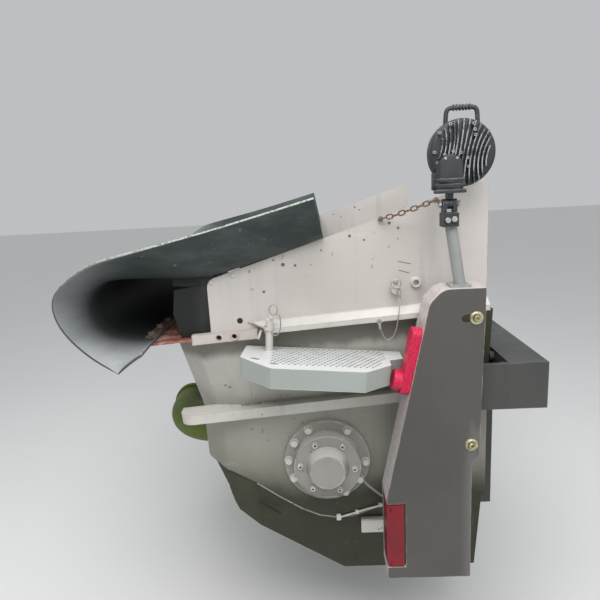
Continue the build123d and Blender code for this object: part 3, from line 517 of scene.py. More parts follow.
# Lynch pin with its sprung ring, on the outer face of the right-hand splash plate. The lanyard that
# keeps it comes near the end, with the other cords.
def hoop(x, y, z, wide, high, count=8):
    """Points of an upright ring, half its width and height given."""
    turns = [math.tau * i / count for i in range(count)]
    return [(x + wide * math.cos(turn), y, z + high * math.sin(turn)) for turn in turns]


work = bmesh.new()
seat(work, turned([(0, 34), (3, 34), (4.5, 32), (4.5, -2), (0, -2)], 12), (245, -742, 636), (0, 0, -1))
seat(work, turned([(0, 9), (6, 9), (7.5, 7), (7.5, 0), (0, 0)], 16), (245, -742, 632), UP)
tube(work, hoop(245, -752, 634, 17, 15), 1.6, closed=True)
piece("lynch_pin", work, zinc)


# Weld beads along the skirt, the band and the foot of the splash plates, and the slit in the hull below the
# skirt, a dark bar of painted shade.
def bead(work, points, radius=3.2, pitch=5.5):
    """A weld: overlapping scales laid along straight runs between points."""
    for start, end in zip(points, points[1:]):
        a, b = Vector(start), Vector(end)
        count = max(int((b - a).length / pitch), 1)
        for i in range(count):
            scale = bmesh.new()
            bmesh.ops.create_icosphere(scale, subdivisions=1, radius=radius)
            seat(work, scale, a.lerp(b, i / count), (b - a).normalized())


SKIRT = ((-255, -89), (-178, -144), (-97, -196), (-35, -224), (30, -235), (85, -229), (129, -214),
         (195, -190))
BAND_RISE = 0.077
RIM_RISE = 0.0647
OFF_RIM = (-0.065, 0, 1)
work = bmesh.new()
bead(work, [(x, -690, z - 2) for x, z in SKIRT])
bead(work, [(x, -694, 240 + x * BAND_RISE) for x in (-290, 300)])
bead(work, [(x, PLATE_FACE - 1, 498 + x * RIM_RISE) for x in (-150, 470)], 2.6)
weld_paint = enamel("weld_enamel", (0.40, 0.385, 0.35), (0.24, 0.22, 0.18), specks=0.55)
piece("weld_beads", work, weld_paint, both=True)

# Slit: a dark bar of painted shade.
work = bmesh.new()
slit_a, slit_b = Vector((-259, -664, -178)), Vector((-183, -668, -231))
seat(work, bar((7, 96, 6), 1.5), slit_a.lerp(slit_b, 0.5), (0.1, -1, 0.1), 55)
piece("hull_slit", work, dark, both=True)

# Bearings: cast flange, housing and pressed cap in enamel with painted highlights, pale on what faces up and
# along each edge. Hexagon bolts go round the flange where a spanner has room, and six socket screws hold the
# housing.
FLANGE_FACE = -706
HOUSING_FACE = -752
CAP_FACE = -790
BOLT_CIRCLE = 135
BOLT_ANGLES = [a - 3 for a in range(0, 360, 30) if a not in (30, 90, 240, 270)]
SCREW_CIRCLE = 94
SCREW_ANGLES = range(55, 360, 60)

clean_zinc, shader = new_material("clean_zinc")
wiped = step_up(noise(position(shader), 70, 4), 0.4, 0.65)
coat(shader, tint(wiped, (0.66, 0.65, 0.62), (0.48, 0.47, 0.44)), 0.35, wiped, 0.15, metal=0.2)

work = bmesh.new()
for angle in BOLT_ANGLES:
    x, z = around(BOLT_CIRCLE, angle)
    seat(work, turned([(0, 2.4), (15.5, 2.4), (16.5, 1.6), (16.5, 0)], 20), (x, FLANGE_FACE, z))
    seat(work, hexagon(23, 13), (x, FLANGE_FACE - 2, z), turn=angle * 1.7)
piece("flange_bolts", work, band_paint, both=True)
# Key sockets: dark discs of painted shade.
sockets = bmesh.new()

work = bmesh.new()
for angle in SCREW_ANGLES:
    x, z = around(SCREW_CIRCLE, angle)
    seat(work, washer(10, 1.2), (x, HOUSING_FACE, z))
    seat(work, socket_screw(8.5, 10), (x, HOUSING_FACE - 1, z))
    seat(sockets, turned([(0, 0.4), (4.6, 0.4)], 12), (x, HOUSING_FACE - 5.4, z))
piece("housing_screws", work, clean_zinc, both=True)
piece("screw_sockets", sockets, dark, both=True)

# Painted highlights: the pale edge colour on every edge, and a pale tint on faces that look up.
bearing_paint = enamel("bearing_enamel", (0.30, 0.29, 0.26), (0.235, 0.228, 0.20), specks=0.68, rim=0.005,
                       fade=((-20, -190, (0.13, 0.13, 0.10)),), wear_and_highlight=(0.62, 0.60, 0.56), wear_and_highlight_amount=1.4)
paint, clean = recoat(bearing_paint)
look = facing(clean)
painted_top_light = step_up(look["Z"], 0.15, 0.8, 0.85)
link(tint(painted_top_light, clean, (0.60, 0.585, 0.545)), paint)
dress(bearing_paint, "bearing_right", "bearing_left_motor")
work = bmesh.new()
seat(work, turned([(74, 0), (77, 0), (77, 3), (74, 5), (73, 4)], 64), (0, HOUSING_FACE, 0))
seat(work, turned([(0, 0.6), (50, 0.6), (57, 0.2), (59, -2)], 64), (0, CAP_FACE, 0))
seat(work, turned([(112, -2), (115, -2), (115, 1.5), (112, 1.5)], 64), (0, HOUSING_FACE, 0))
piece("cap_rim", work, bearing_paint)

# Motor side: two hose unions with their plugs on the oil motor's block.
work = bmesh.new()
for x in (-17, 17):
    seat(work, hexagon(26, 9), (x, 822, 92), UP, 12)
    seat(work, turned([(0, 16), (8, 16), (11, 14), (11, 8), (0, 8)], 20), (x, 822, 92), UP)
for angle in range(45, 360, 90):
    x, z = around(70.5, angle)
    seat(work, hexagon(12, 7), (x, 778, z), (0, 1, 0), 20)
piece("motor_unions", work, zinc)

# Steps: pale blue-grey galvanised tread, lighter on top from chalky bloom and painted light and darker on
# faces that look down as painted shade, with staggered pierced lozenges that leave a strip bare all round,
# and two oval drain slots at the rear outer corner. The ladder's locking pin stands on the right-hand tread
# with its retaining wire.
TREAD_FALL = 0.0875


def tread_at(x):
    return 420 - TREAD_FALL * x


LOZENGE_PITCH = 18
LOZENGE_ROW = 13
LOZENGE_ROWS = 13
LOZENGE_COLUMNS = 22
TREAD_SLOPE = Matrix.Rotation(math.atan(TREAD_FALL), 4, "Y")


def lay(work, blank, x, y, turn):
    """Seat a blank on the sloping tread, its long way turned from the hopper's X towards its Y."""
    spin = Matrix.Rotation(math.radians(turn), 4, "Z")
    matrix = Matrix.Translation(place(x, y, tread_at(x))) @ TREAD_SLOPE @ spin @ Matrix.Scale(0.001, 4)
    bmesh.ops.transform(blank, matrix=matrix, verts=blank.verts)
    join(work, blank)


step_paint = enamel("step_galvanised", (0.33, 0.355, 0.335), (0.27, 0.295, 0.27), gloss=0.4, specks=0.7,
                    streaks=0.3, wear_and_highlight=(0.62, 0.64, 0.65), wear_and_highlight_amount=0.7)
paint, clean = recoat(step_paint)
look = facing(clean)
# Faces that look up: chalky bloom and painted light; faces that look down: painted shade.
chalk = tint(step_up(look["Z"], 0.5, 0.9, 0.75), clean, (0.60, 0.595, 0.60))
under = step_up(look["Z"], 0.2, -0.1, 0.25)
link(tint(under, chalk, (0.30, 0.33, 0.28)), paint)
dress(step_paint, "step_right", "step_left")

studs = bmesh.new()
holes = bmesh.new()
for row in range(LOZENGE_ROWS):
    y = -742 - row * LOZENGE_ROW
    for i in range(LOZENGE_COLUMNS):
        x = -192 + (i + row % 2 / 2) * LOZENGE_PITCH
        if x < -110 - (y + 744) * 0.1 - 60 or x > 178 + (y + 860) * 0.4:
            continue
        lip = turned([(3.0, 0.5), (3.4, 1.8), (4.4, 0)], 8)
        floor = turned([(0, 0.5), (3.1, 0.5)], 8)
        for blank, work in ((lip, studs), (floor, holes)):
            bmesh.ops.scale(blank, verts=blank.verts, vec=(2.2, 0.85, 1))
            lay(work, blank, x, y, 60)
for x, y, long, turn in ((-209, -860, 40, -24), (-148, -899, 38, -26)):
    lip = turned([(8, 0.5), (9, 2), (11, 0)], 20)
    floor = turned([(0, 0.5), (8.2, 0.5)], 20)
    for blank, work in ((lip, studs), (floor, holes)):
        bmesh.ops.scale(blank, verts=blank.verts, vec=(long / 18, 0.85, 1))
        lay(work, blank, x, y, turn)
piece("tread_studs", studs, step_paint, both=True)
# Floors of the lozenges and drain slots: dark discs of painted shade.
tread_shade = mottled("tread_shade", (0.10, 0.10, 0.095), (0.22, 0.22, 0.21), 90, 3, 0.8)
piece("tread_holes", holes, tread_shade, both=True)

# Locking pin: a round bar with a welded wedge behind it, a sprung ring clip and a loop of wire.
PIN_TOP = (-164, -772, 545)
PIN_FOOT = (-173, -770, 432)
work = bmesh.new()
axis = Vector(PIN_TOP) - Vector(PIN_FOOT)
high = axis.length
seat(work, turned([(0, high), (8, high), (12.5, high - 5), (12.5, 6), (17, 3), (17, 0)], 20), PIN_FOOT, axis)
seat(work, turned([(12.8, 0), (15.5, 0.5), (15.5, 12), (12.8, 12.5)], 20), (-170, -771, 505), axis)
seat(work, bar((92, 8, 15), 2), (-199, -763, 493), (0.33, 0, 0.94))
seat(work, washer(5, 10, 12), (-160, -782, 552), (0.2, -1, 0))
piece("step_pin", work, rail_enamel)
work = bmesh.new()
tube(work, hoop(-150, -778, 573, 14, 18), 2, closed=True)
tube(work, [(-160, -783, 556), (-134, -784, 566), (-128, -784, 540), (-130, -784, 510), (-140, -784, 490),
            (-154, -783, 488), (-160, -783, 502)], 1.8)
piece("pin_clip", work, zinc)

# Rubber apron: one thick sheet clamped on the lip, rolled up over the tub, its margins flaring out past the
# side bars. It is dull blue-black, chalky grey where it is scuffed, near-black inside the roll as painted
# shade, with a cut edge that is pale on top as a painted highlight.
RUBBER = 0.010
MARGIN_START = 746
MARGIN_END = 845
ROLL_X, ROLL_Z, ROLL_R = -659, 588, 112


def on_roll(angle):
    return (ROLL_X + ROLL_R * math.cos(math.radians(angle)), ROLL_Z + ROLL_R * math.sin(math.radians(angle)))


def on_leg(x):
    return x, 679 + (x + 368) * math.tan(math.radians(17))


def on_lip(x):
    return x, 505.3 + x * math.tan(math.radians(3.7))


# Columns: outer face of the roll (x, z), then the free edge of the margin (x, z).
APRON_ROWS = (
    (*on_lip(-560), -566, 456),
    (*on_lip(-598), -604, 434),
    (*on_roll(-90), -647, 400),
    (*on_roll(-118), -717, 441),
    (*on_roll(-146), -789, 511),
    (*on_roll(-170), -828, 579),
    (*on_roll(-194), -834, 644),
    (*on_roll(-215), -804, 691),
    (*on_roll(-242), -702, 758),
    (*on_roll(-270), -622, 775),
    (-430, 684, -450, 812),
    (*on_leg(-330), -330, 838),
    (*on_leg(-150), -165, 879),
    (*on_leg(18), -5, 920),
)
HALF = (350, 700, MARGIN_START, 786, 818, MARGIN_END)
COLUMNS = (*(-y for y in reversed(HALF)), 0, *HALF)

work = bmesh.new()
bmesh.ops.create_grid(work, x_segments=len(APRON_ROWS) - 1, y_segments=len(COLUMNS) - 1, size=0.5)
pinned = work.verts.layers.float.new("crease_vert")
for vert in work.verts:
    row = APRON_ROWS[round((vert.co.x + 0.5) * (len(APRON_ROWS) - 1))]
    y = COLUMNS[round((vert.co.y + 0.5) * (len(COLUMNS) - 1))]
    out = max(abs(y) - MARGIN_START, 0) / (MARGIN_END - MARGIN_START)
    vert[pinned] = 1 if out == 1 and row[3] == 400 else 0
    vert.co = place(row[0] + (row[2] - row[0]) * out, y, row[1] + (row[3] - row[1]) * out)
bmesh.ops.recalc_face_normals(work, faces=work.faces)
rear = min(work.faces, key=lambda face: face.calc_center_median().x)
if rear.normal.x > 0:
    bmesh.ops.reverse_faces(work, faces=work.faces)
mesh = mesh_of(work, "apron_sheet")
mesh.shade_smooth()
apron = stand("apron_sheet", mesh)
smooth = apron.modifiers.new("smoothing", "SUBSURF")
smooth.levels = 2
smooth.render_levels = 2
smooth.boundary_smooth = "PRESERVE_CORNERS"
thick = apron.modifiers.new("thickness", "SOLIDIFY")
thick.thickness = RUBBER
thick.offset = -1
thick.material_offset_rim = 1
rounding = apron.modifiers.new("rounding", "BEVEL")
rounding.width = 0.0015
rounding.segments = 2
rounding.limit_method = "ANGLE"
rounding.angle_limit = math.radians(50)

rubber, shader = new_material("apron_rubber")
here = position(shader)
split = xyz(here)
wipe = noise(position(shader, (2, 1, 6)), 3, 6, 0.65)
sheet = tint(step_up(wipe, 0.35, 0.7), (0.028, 0.038, 0.037), (0.062, 0.074, 0.073))
low = step_up(split["Z"], at_z(610), at_z(440))
rear = step_up(split["X"], at_x(-560), at_x(-760), 0.5)
chalk = noise(position(shader, (3, 1, 9), (0, 0.6, 0)), 3, 7, 0.65)
grey = times(larger(low, rear), step_up(chalk, -0.5, 0.75))
sheet = tint(grey, sheet, (0.34, 0.355, 0.365))
across = size_of(split["Y"])
# Painted shade: near-black inside the roll, away from the margins and towards the rear.
painted_roll_shade = times(step_up(across, 0.845, 0.715, 0.93), step_up(split["X"], at_x(-330), at_x(-520)))
sheet = tint(painted_roll_shade, sheet, (0.018, 0.023, 0.022))
painted_inner_shade = step_up(across, 0.745, 0.65)
sheet = tint(painted_inner_shade, sheet, (0.012, 0.015, 0.014))
scratch = noise(position(shader, (12, 12, 1.2), (0.3, 0.2, 0)), 9, 4, 0.6)
sheet = tint(step_up(scratch, 0.66, 0.74, 0.35), sheet, (0.16, 0.17, 0.165))
crust = times(step_up(noise(here, 60, 4), 0.66, 0.72), step_up(across, 0.745, 0.80, 0.4))
sheet = tint(crust, sheet, (0.28, 0.27, 0.24))
coat(shader, sheet, 0.62, plus(noise(here, 160, 4), chalk), 0.25, specular=0.35)
cut_edge, shader = new_material("rubber_cut_edge")
nick = noise(position(shader), 120, 3)
look = facing(shader)
sawn = tint(nick, (0.05, 0.06, 0.055), (0.11, 0.12, 0.11))
# Painted highlight: the cut edge is pale only where it looks up.
pale = times(step_up(look["Z"], 0.3, 0.8), step_up(nick, 0.35, 0.5))
coat(shader, tint(pale, sawn, (0.34, 0.37, 0.33)), 0.8, nick, 0.4)
apron.data.materials.append(rubber)
apron.data.materials.append(cut_edge)
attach(apron, "hopper")
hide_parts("apron")
wing_rubber, shader = new_material("wing_rubber")
here = position(shader)
smear = noise(position(shader, (6, 1, 1.5)), 5, 5, 0.6)
spot = xyz(here)
# Painted shade: the wing turns near-black towards the rear.
painted_rear_shade = step_up(spot["X"], at_x(-345), at_x(-440))
outer = tint(step_up(smear, 0.4, 0.7), (0.008, 0.010, 0.009), (0.030, 0.032, 0.029))
coat(shader, tint(painted_rear_shade, outer, (0.004, 0.005, 0.0045)), 0.6, plus(noise(here, 160, 4), smear), 0.25)
dress(wing_rubber, "wing_right", "wing_left")

# Clamp strip with its row of bolts, and the lip's rear edge in red oxide where the enamel never reached.
strip_steel = enamel("strip_steel", (0.09, 0.06, 0.05), (0.14, 0.065, 0.05), gloss=0.6, specks=0.5,
                     wear_and_highlight=(0.35, 0.30, 0.26))
dress(strip_steel, "apron_strip")
work = bmesh.new()
for i in range(15):
    y = -700 + i * 100
    seat(work, washer(13, 2), (-577, y, 486.6), OFF_RIM)
    seat(work, hexagon(19, 9), (-577, y, 488.6), OFF_RIM, i * 23)
piece("strip_bolts", work, strip_steel)

work = bmesh.new()
for z in (560, 625):
    for x in (-336, -318):
        seat(work, turned([(0, 3.5), (5, 3), (8, 0)], 14), (x, -711, z), (0, 1, 0))
seat(work, bar((176, 34, 5), 1), (-393, -713, 664), (0, -1, 0), -4)
piece("wing_rivets", work, wing_rubber, both=True)


# Screen, agitator and valve: steel scoured bright where the concrete runs, rusty elsewhere, with dried
# mortar caked on in patches.
def scoured(name, colour, rusty, mortar=0.55):
    """Bare steel between scoured colour and rust, crusted with mortar where the noise lies above it."""
    material, shader = new_material(name)
    here = position(shader)
    rub = step_up(noise(position(shader, (1, 1, 2.5)), 7, 7, 0.68), 0.42, 0.62)
    steel = tint(rub, rusty, colour)
    cake = step_up(noise(here, 6, 8, 0.72), mortar, mortar + 0.06)
    steel = tint(cake, steel, (0.33, 0.315, 0.28))
    bare = plus(times(cake, -1), 1)
    coat(shader, steel, plus(times(cake, 0.35), 0.42), plus(times(cake, 3), noise(here, 70, 4)), 0.5, 0.003,
         times(times(bare, rub), 0.7))
    return material


valve_steel = scoured("valve_steel", (0.40, 0.38, 0.35), (0.17, 0.085, 0.05))
dress(valve_steel, "valve_tube", "port_plate", "agitator")
dress(scoured("screen_steel", (0.36, 0.34, 0.31), (0.20, 0.12, 0.08), 0.6), "screen_rear", "screen_front",
      "screen_ledge")
dress(zinc, "elbow_pin")

# Mortar: lumps dried on the screen bars.
mortar, shader = new_material("dried_mortar")
here = position(shader)
grit = noise(here, 45, 8, 0.75)
coat(shader, tint(step_up(grit, 0.35, 0.65), (0.24, 0.23, 0.20), (0.40, 0.385, 0.35)), 0.92, grit, 0.8, 0.004)
rear_cake = bmesh.new()
front_cake = bmesh.new()
LUMPS = 90
for i in range(LUMPS):
    x = -400 + (i * 137) % 860
    y = -592 + 74 * ((i * 5) % 17) + (i % 3 - 1) * 3
    if 36 < x < 66:
        continue
    lump = bmesh.new()
    bmesh.ops.create_icosphere(lump, subdivisions=1, radius=5 + (i * 7) % 6)
    bmesh.ops.scale(lump, verts=lump.verts, vec=(1.6 + (i % 4) * 0.3, 0.8, 0.35))
    seat(rear_cake if x < 50 else front_cake, lump, (x, y, 474 + x * RIM_RISE), OFF_RIM, (i % 5 - 2) * 4)
piece("screen_mortar", rear_cake, mortar)
piece("leaf_mortar", front_cake, mortar, body="front_screen")

# Bolts of the screen's rear leaf.
work = bmesh.new()
for y in (-480, -160, 160, 480):
    seat(work, washer(15, 2.5), (27, y, 476.5), OFF_RIM)
    seat(work, hexagon(22, 11), (27, y, 479), OFF_RIM, y % 50)
piece("screen_bolts", work, valve_steel)

# Agitator: bolt heads in the six hubs, a pair on either side of the shaft.
HUBS = ((-546, 0), (-434, 120), (-322, 240), (322, 60), (434, 180), (546, 300))     # Y, angle
work = bmesh.new()
for y, angle in HUBS:
    for turn in (angle, angle + 180):
        way = (math.sin(math.radians(turn)), 0, math.cos(math.radians(turn)))
        side = Vector(way).cross((0, 1, 0))
        for off in (-14, 14):
            foot = Vector((0, y + off, 0)) + Vector(way) * 49
            seat(work, hexagon(14, 8), foot + side * 18, way, turn)
piece("hub_bolts", work, valve_steel, body="agitator")

# Front wall: a fillet weld and two ribs round each cylinder spigot, and six bolts in the flange of the
# swing bush.
VALVE_Z = -165
PORT_Z = -325.0
SPIGOTS = ((-120, PORT_Z), (120, PORT_Z))
work = bmesh.new()
for y, z in SPIGOTS:
    seat(work, turned([(115, 10), (118, 8.5), (121.5, 4), (125, -1)], 64), (560, y, z), FORWARD)
for x in (615, 630):
    for y, z in SPIGOTS:
        seat(work, turned([(115.5, 0), (118, 1), (118, 5), (115.5, 6)], 64), (x, y, z), FORWARD)
piece("spigot_welds", work, hull_paint)
work = bmesh.new()
for angle in range(30, 390, 60):
    y, z = around(71, angle)
    seat(work, hexagon(13, 8), (581.5, y, VALVE_Z + z), FORWARD, angle)
piece("bush_bolts", work, zinc)

# Outlet and elbow: lime green enamel, dull and caked, its green darkened as painted shade, with the
# coupling's bolts all round but for the place of the hinge.
dress(enamel("outlet_enamel", (0.095, 0.138, 0.016), (0.048, 0.070, 0.014), gloss=0.5, specks=0.58,
             streaks=0.7, wear_and_highlight=(0.20, 0.13, 0.08), wear_and_highlight_amount=0.9), "outlet_sleeve", "delivery_elbow")
COUPLING_FACE = -460
COUPLING_REAR = -497
COUPLING_CIRCLE = 152
nuts = bmesh.new()
heads = bmesh.new()
for angle in range(15, 375, 30):
    y, z = around(COUPLING_CIRCLE, angle)
    if y < -110 and abs(z) < 70:
        continue
    seat(nuts, washer(13, 2.5), (COUPLING_FACE, y, VALVE_Z + z), FORWARD)
    seat(nuts, hexagon(20, 12), (COUPLING_FACE + 2, y, VALVE_Z + z), FORWARD, angle)
    seat(heads, hexagon(20, 13), (COUPLING_REAR, y, VALVE_Z + z), (-1, 0, 0), angle * 2)
piece("coupling_nuts", nuts, zinc)
piece("coupling_heads", heads, zinc, body="elbow")

# Cross frame and tail lamp plates: dark satin enamel on the frame, brown-grey on the plates, scuffed
# paler towards the cab, the folded edges worn to a pinkish primer and bare metal.
frame_paint = enamel("frame_enamel", (0.060, 0.062, 0.058), (0.042, 0.044, 0.042), wear_and_highlight=(0.2, 0.19, 0.17))
dress(frame_paint, "cross_beam", "frame_leg_right", "frame_leg_left", "end_plate_right", "end_plate_left",
      "swing_lever", "swing_bush")
lamp_plate_paint = enamel("lamp_plate_enamel", (0.080, 0.074, 0.069), (0.064, 0.061, 0.056), gloss=0.30,
                          specks=0.72, streaks=0.25, wear_and_highlight=(0.45, 0.42, 0.40), wear_and_highlight_amount=0.8, rim=0.004)
paint, clean = recoat(lamp_plate_paint)
look = facing(clean)
spot = xyz(position(clean))
rubs = noise(position(clean, (4, 4, 1)), 3.2, 4, 0.5)
scuff = times(step_up(spot["X"], at_x(415), at_x(462)), step_up(rubs, 0.47, 0.60, 0.5))
clean = tint(scuff, clean, (0.20, 0.19, 0.18))
fold = larger(step_up(look["X"], -0.35, -0.75), step_up(look["Z"], 0.35, 0.75))
peel = step_up(noise(position(clean), 55, 7, 0.75), 0.38, 0.62)
edge_paint = tint(peel, (0.41, 0.345, 0.335), (0.52, 0.495, 0.48))
link(tint(fold, clean, edge_paint), paint)
dress(lamp_plate_paint, "lamp_plate_right", "lamp_plate_left")

# Yellow-zinc cap screws in cup washers, the slot beside the upper one, and the heads of the bolts that
# clamp the frame to the chassis rails.
yellow_zinc, shader = new_material("yellow_zinc")
here = position(shader)
tarnish = step_up(noise(here, 60, 4), 0.4, 0.65)
coat(shader, tint(tarnish, (0.50, 0.46, 0.30), (0.30, 0.26, 0.15)), 0.34, noise(here, 260, 3), 0.12,
     metal=0.55)
LAMP_PLATE_FACE = -892
PLATE_BOLTS = ((458, 547), (449, 141))
work = bmesh.new()
for x, z in PLATE_BOLTS:
    seat(work, turned([(9, 2), (12, 5.5), (16, 6), (19.5, 3.5), (20.5, 0)], 32), (x, LAMP_PLATE_FACE, z))
    seat(work, socket_screw(9.5, 10), (x, LAMP_PLATE_FACE - 2, z))
piece("plate_screws", work, yellow_zinc, both=True)
work = bmesh.new()
# Slot: a dark disc of painted shade.
slot_hole = turned([(0, 0.4), (11, 0.4), (12, 0)], 24)
bmesh.ops.scale(slot_hole, verts=slot_hole.verts, vec=(1.5, 1, 1))
seat(work, slot_hole, (432, LAMP_PLATE_FACE, 547), turn=8)
piece("plate_slot", work, dark, both=True)
work = bmesh.new()
for y in (-810, -700, -640, -300, -120, 120, 300, 640, 700, 810):
    for z in (258, 364):
        seat(work, hexagon(24, 14), (575, y, z), (-1, 0, 0), y % 60)
piece("beam_bolts", work, frame_paint)

# Stop lamps and block lamps: ribbed red lenses, and the screws that hold them.
red_lens, shader = new_material("red_lens")
here = position(shader)
cells = add(shader, "TexVoronoi", Vector=here, Scale=120)
cells.feature = "DISTANCE_TO_EDGE"
prism = step_up(cells.outputs["Distance"], 0.02, 0.22)
depth = tint(prism, (0.42, 0.010, 0.045), (0.60, 0.018, 0.070))
dusty = step_up(noise(here, 12, 6, 0.7), 0.58, 0.80, 0.25)
coat(shader, tint(dusty, depth, (0.40, 0.09, 0.11)), 0.3, prism, 0.5, 0.0015, specular=0.3)
dress(red_lens, "stop_lamp_right", "stop_lamp_left")
block_lens, shader = new_material("block_lens")
here = position(shader)
ribs = add(shader, "TexWave", Vector=here, Scale=60)
ribs.bands_direction = "Z"
grime = step_up(noise(here, 9, 6, 0.7), 0.45, 0.7, 0.5)
coat(shader, tint(grime, (0.20, 0.008, 0.016), (0.08, 0.012, 0.015)), 0.35, ribs.outputs["Fac"], 0.35,
     specular=0.3)
dress(block_lens, "rear_lamp_right", "rear_lamp_left")
work = bmesh.new()
for z in (-100, -185, -270):
    seat(work, bar((4, 50, 2.5), 0.8), (183, -848, z), FORWARD, 90)
for x, z in ((196, -80), (196, -275)):
    seat(work, socket_screw(4.5, 2.5), (x, LAMP_PLATE_FACE, z))
piece("lamp_seams", work, block_lens, both=True)

# Work lamp: a round cast housing, its back covered in cooling fins that run straight in the middle and
# curve away on both sides, with case screws between them, a rounded knuckle on a stepped collar, and a
# bow handle with a grip. It is drawn round its middle and leans clockwise as in the photograph.
LAMP_X, LAMP_Y, LAMP_Z = 427, -820, 1022
LAMP_BACK = -843
LAMP_R = 96
LAMP_LEAN = math.radians(-11)
FIN_PITCH = 14.5
FIN_THICK = 3.2
FIN_HIGH = 12
KNUCKLE_X = 384
TILT_Y, TILT_Z = -860, 880

lamp_black = enamel("lamp_black", (0.019, 0.021, 0.025), (0.033, 0.035, 0.040), gloss=0.45, specks=0.75,
                    streaks=0.2, wear_and_highlight=(0.34, 0.35, 0.36), wear_and_highlight_amount=1.0, rim=0.0022)
fin_black = enamel("fin_black", (0.024, 0.026, 0.030), (0.04, 0.042, 0.046), gloss=0.42, specks=0.75,
                   streaks=0.2, wear_and_highlight=(0.50, 0.51, 0.51), wear_and_highlight_amount=1.6, rim=0.004)
dress(lamp_black, "lamp_clamp")


def lean(u, v):
    """A point of the lamp's back, across and up from its middle, leaning with it."""
    cos, sin = math.cos(LAMP_LEAN), math.sin(LAMP_LEAN)
    return LAMP_X + u * cos - v * sin, LAMP_Z + u * sin + v * cos


work = bmesh.new()
shell = turned([(0, 0), (84, 0), (90, 3), (94, 9), (94, 16), (LAMP_R, 18), (LAMP_R, 36), (92, 41), (84, 43),
                (82, 38), (0, 38)], 64)
seat(work, shell, (LAMP_X, LAMP_BACK, LAMP_Z), (0, 1, 0))
tongue = turned([(6.3, 0), (14, 0), (14, 18), (6.3, 18), (6.3, 0)], 32)
seat(work, tongue, (KNUCKLE_X - 9, TILT_Y, TILT_Z), FORWARD)
seat(work, bar((18, 26, 20), 2), (KNUCKLE_X, TILT_Y, TILT_Z + 24), UP)
body = bmesh.new()
bmesh.ops.create_circle(body, cap_ends=True, segments=40, radius=34)
for vert in body.verts:
    if vert.co.y < -0.01:
        vert.co = (vert.co.x * 1.04, -72, 0)
bmesh.ops.remove_doubles(body, verts=body.verts, dist=0.5)
raised = bmesh.ops.extrude_face_region(body, geom=body.faces[:])["geom"]
corners = [part for part in raised if isinstance(part, bmesh.types.BMVert)]
bmesh.ops.translate(body, verts=corners, vec=(0, 0, 41))
crown = [edge for edge in body.edges if all(vert.co.z > 40 for vert in edge.verts)]
bmesh.ops.bevel(body, geom=crown, affect="EDGES", offset=5, segments=3, profile=0.5, material=-1)
seat(work, body, (KNUCKLE_X, LAMP_BACK + 1, 984), (0, -1, 0))
for z, wide in ((946, 72), (932, 78), (916, 84)):
    seat(work, bar((wide, 47, 11), 3.5), (KNUCKLE_X, -866, z), UP)
seat(work, bar((18, 24, 50), 3), (350, -831, 945), UP)
piece("lamp_housing", work, lamp_black, body="lamp")
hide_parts("work_lamp")

work = bmesh.new()
for number in range(-6, 7):
    start = number * FIN_PITCH
    fin = bmesh.new()
    bmesh.ops.create_grid(fin, x_segments=16, y_segments=1, size=0.5)
    for vert in fin.verts:
        v = vert.co.x * 2 * math.sqrt(LAMP_R**2 - min(abs(start) + 6, 92)**2)
        u = start * (0.76 + 0.5 * (v / LAMP_R)**2)
        reach = math.hypot(u, v)
        if reach > LAMP_R - 5:
            u, v = u * (LAMP_R - 5) / reach, v * (LAMP_R - 5) / reach
        x, z = lean(u, v)
        vert.co = place(x, LAMP_BACK + 1 - (vert.co.y + 0.5) * FIN_HIGH, z)
    bmesh.ops.recalc_face_normals(fin, faces=fin.faces)
    bmesh.ops.solidify(fin, geom=fin.faces[:], thickness=FIN_THICK / 1000)
    join(work, fin)
piece("lamp_fins", work, fin_black, body="lamp")

CASE_SCREWS = ((388, 1101), (453, 1099), (456, 1083), (458, 1068), (358, 1078), (344, 1026), (353, 996),
               (396, 1026), (417, 1022), (437, 1007), (440, 982), (372, 1018))
work = bmesh.new()
for x, z in CASE_SCREWS:
    seat(work, socket_screw(4.6, 13), (x, LAMP_BACK + 1, z))
for x, z in ((368, 1006), (400, 1006)):
    seat(work, turned([(0, 2.5), (2, 2.5), (4, 0)], 14), (x, -883, z))
piece("lamp_screws", work, zinc, body="lamp")

# Bolts of the clamp on the post and of the tilt pin.
work = bmesh.new()
for x, z in ((374, 836), (392, 838)):
    seat(work, hexagon(15, 8), (x, -886, z), turn=x)
for x, way in ((408, 1), (360, -1)):
    seat(work, hexagon(16, 7), (x, TILT_Y, TILT_Z), (way, 0, 0), 12)
piece("clamp_bolts", work, zinc)

# Lens on the far side: a clear disc over rows of diodes in a pale reflector.
lens, shader = new_material("lamp_lens")
cells = add(shader, "TexVoronoi", Vector=position(shader), Scale=42, Randomness=0.0)
cup = step_up(cells.outputs["Distance"], 0.18, 0.34)
coat(shader, tint(cup, (0.75, 0.70, 0.42), (0.50, 0.51, 0.52)), 0.18, cup, 0.4, 0.003)
shader.inputs["Coat Weight"].default_value = 0.8
work = bmesh.new()
disc = turned([(0, 1.6), (76, 1.6), (80, 1), (81.5, -1), (81.5, -4), (0, -4)], 56)
seat(work, disc, (LAMP_X, -803, LAMP_Z), (0, 1, 0))
piece("lamp_lens", work, lens, body="lamp")

HANDLE = ((381, 1096), (382, 1128), (386, 1144), (400, 1148), (427, 1148), (454, 1148), (468, 1144),
          (472, 1128), (473, 1096))
work = bmesh.new()
tube(work, [(x, LAMP_Y, z) for x, z in HANDLE], 6.5, 3)
for x in range(404, 452, 9):
    seat(work, turned([(6.6, 0), (9, 1.5), (9, 4.5), (6.6, 6)], 18), (x - 3, LAMP_Y, 1147.5), FORWARD)
for x, z in ((381, 1088), (473, 1088)):
    seat(work, bar((17, 18, 24), 3), (x, LAMP_Y, z), UP)
    seat(work, hexagon(12, 6), (x, LAMP_Y - 9, z), (0, -1, 0), 10)
piece("lamp_handle", work, lamp_black, body="lamp")

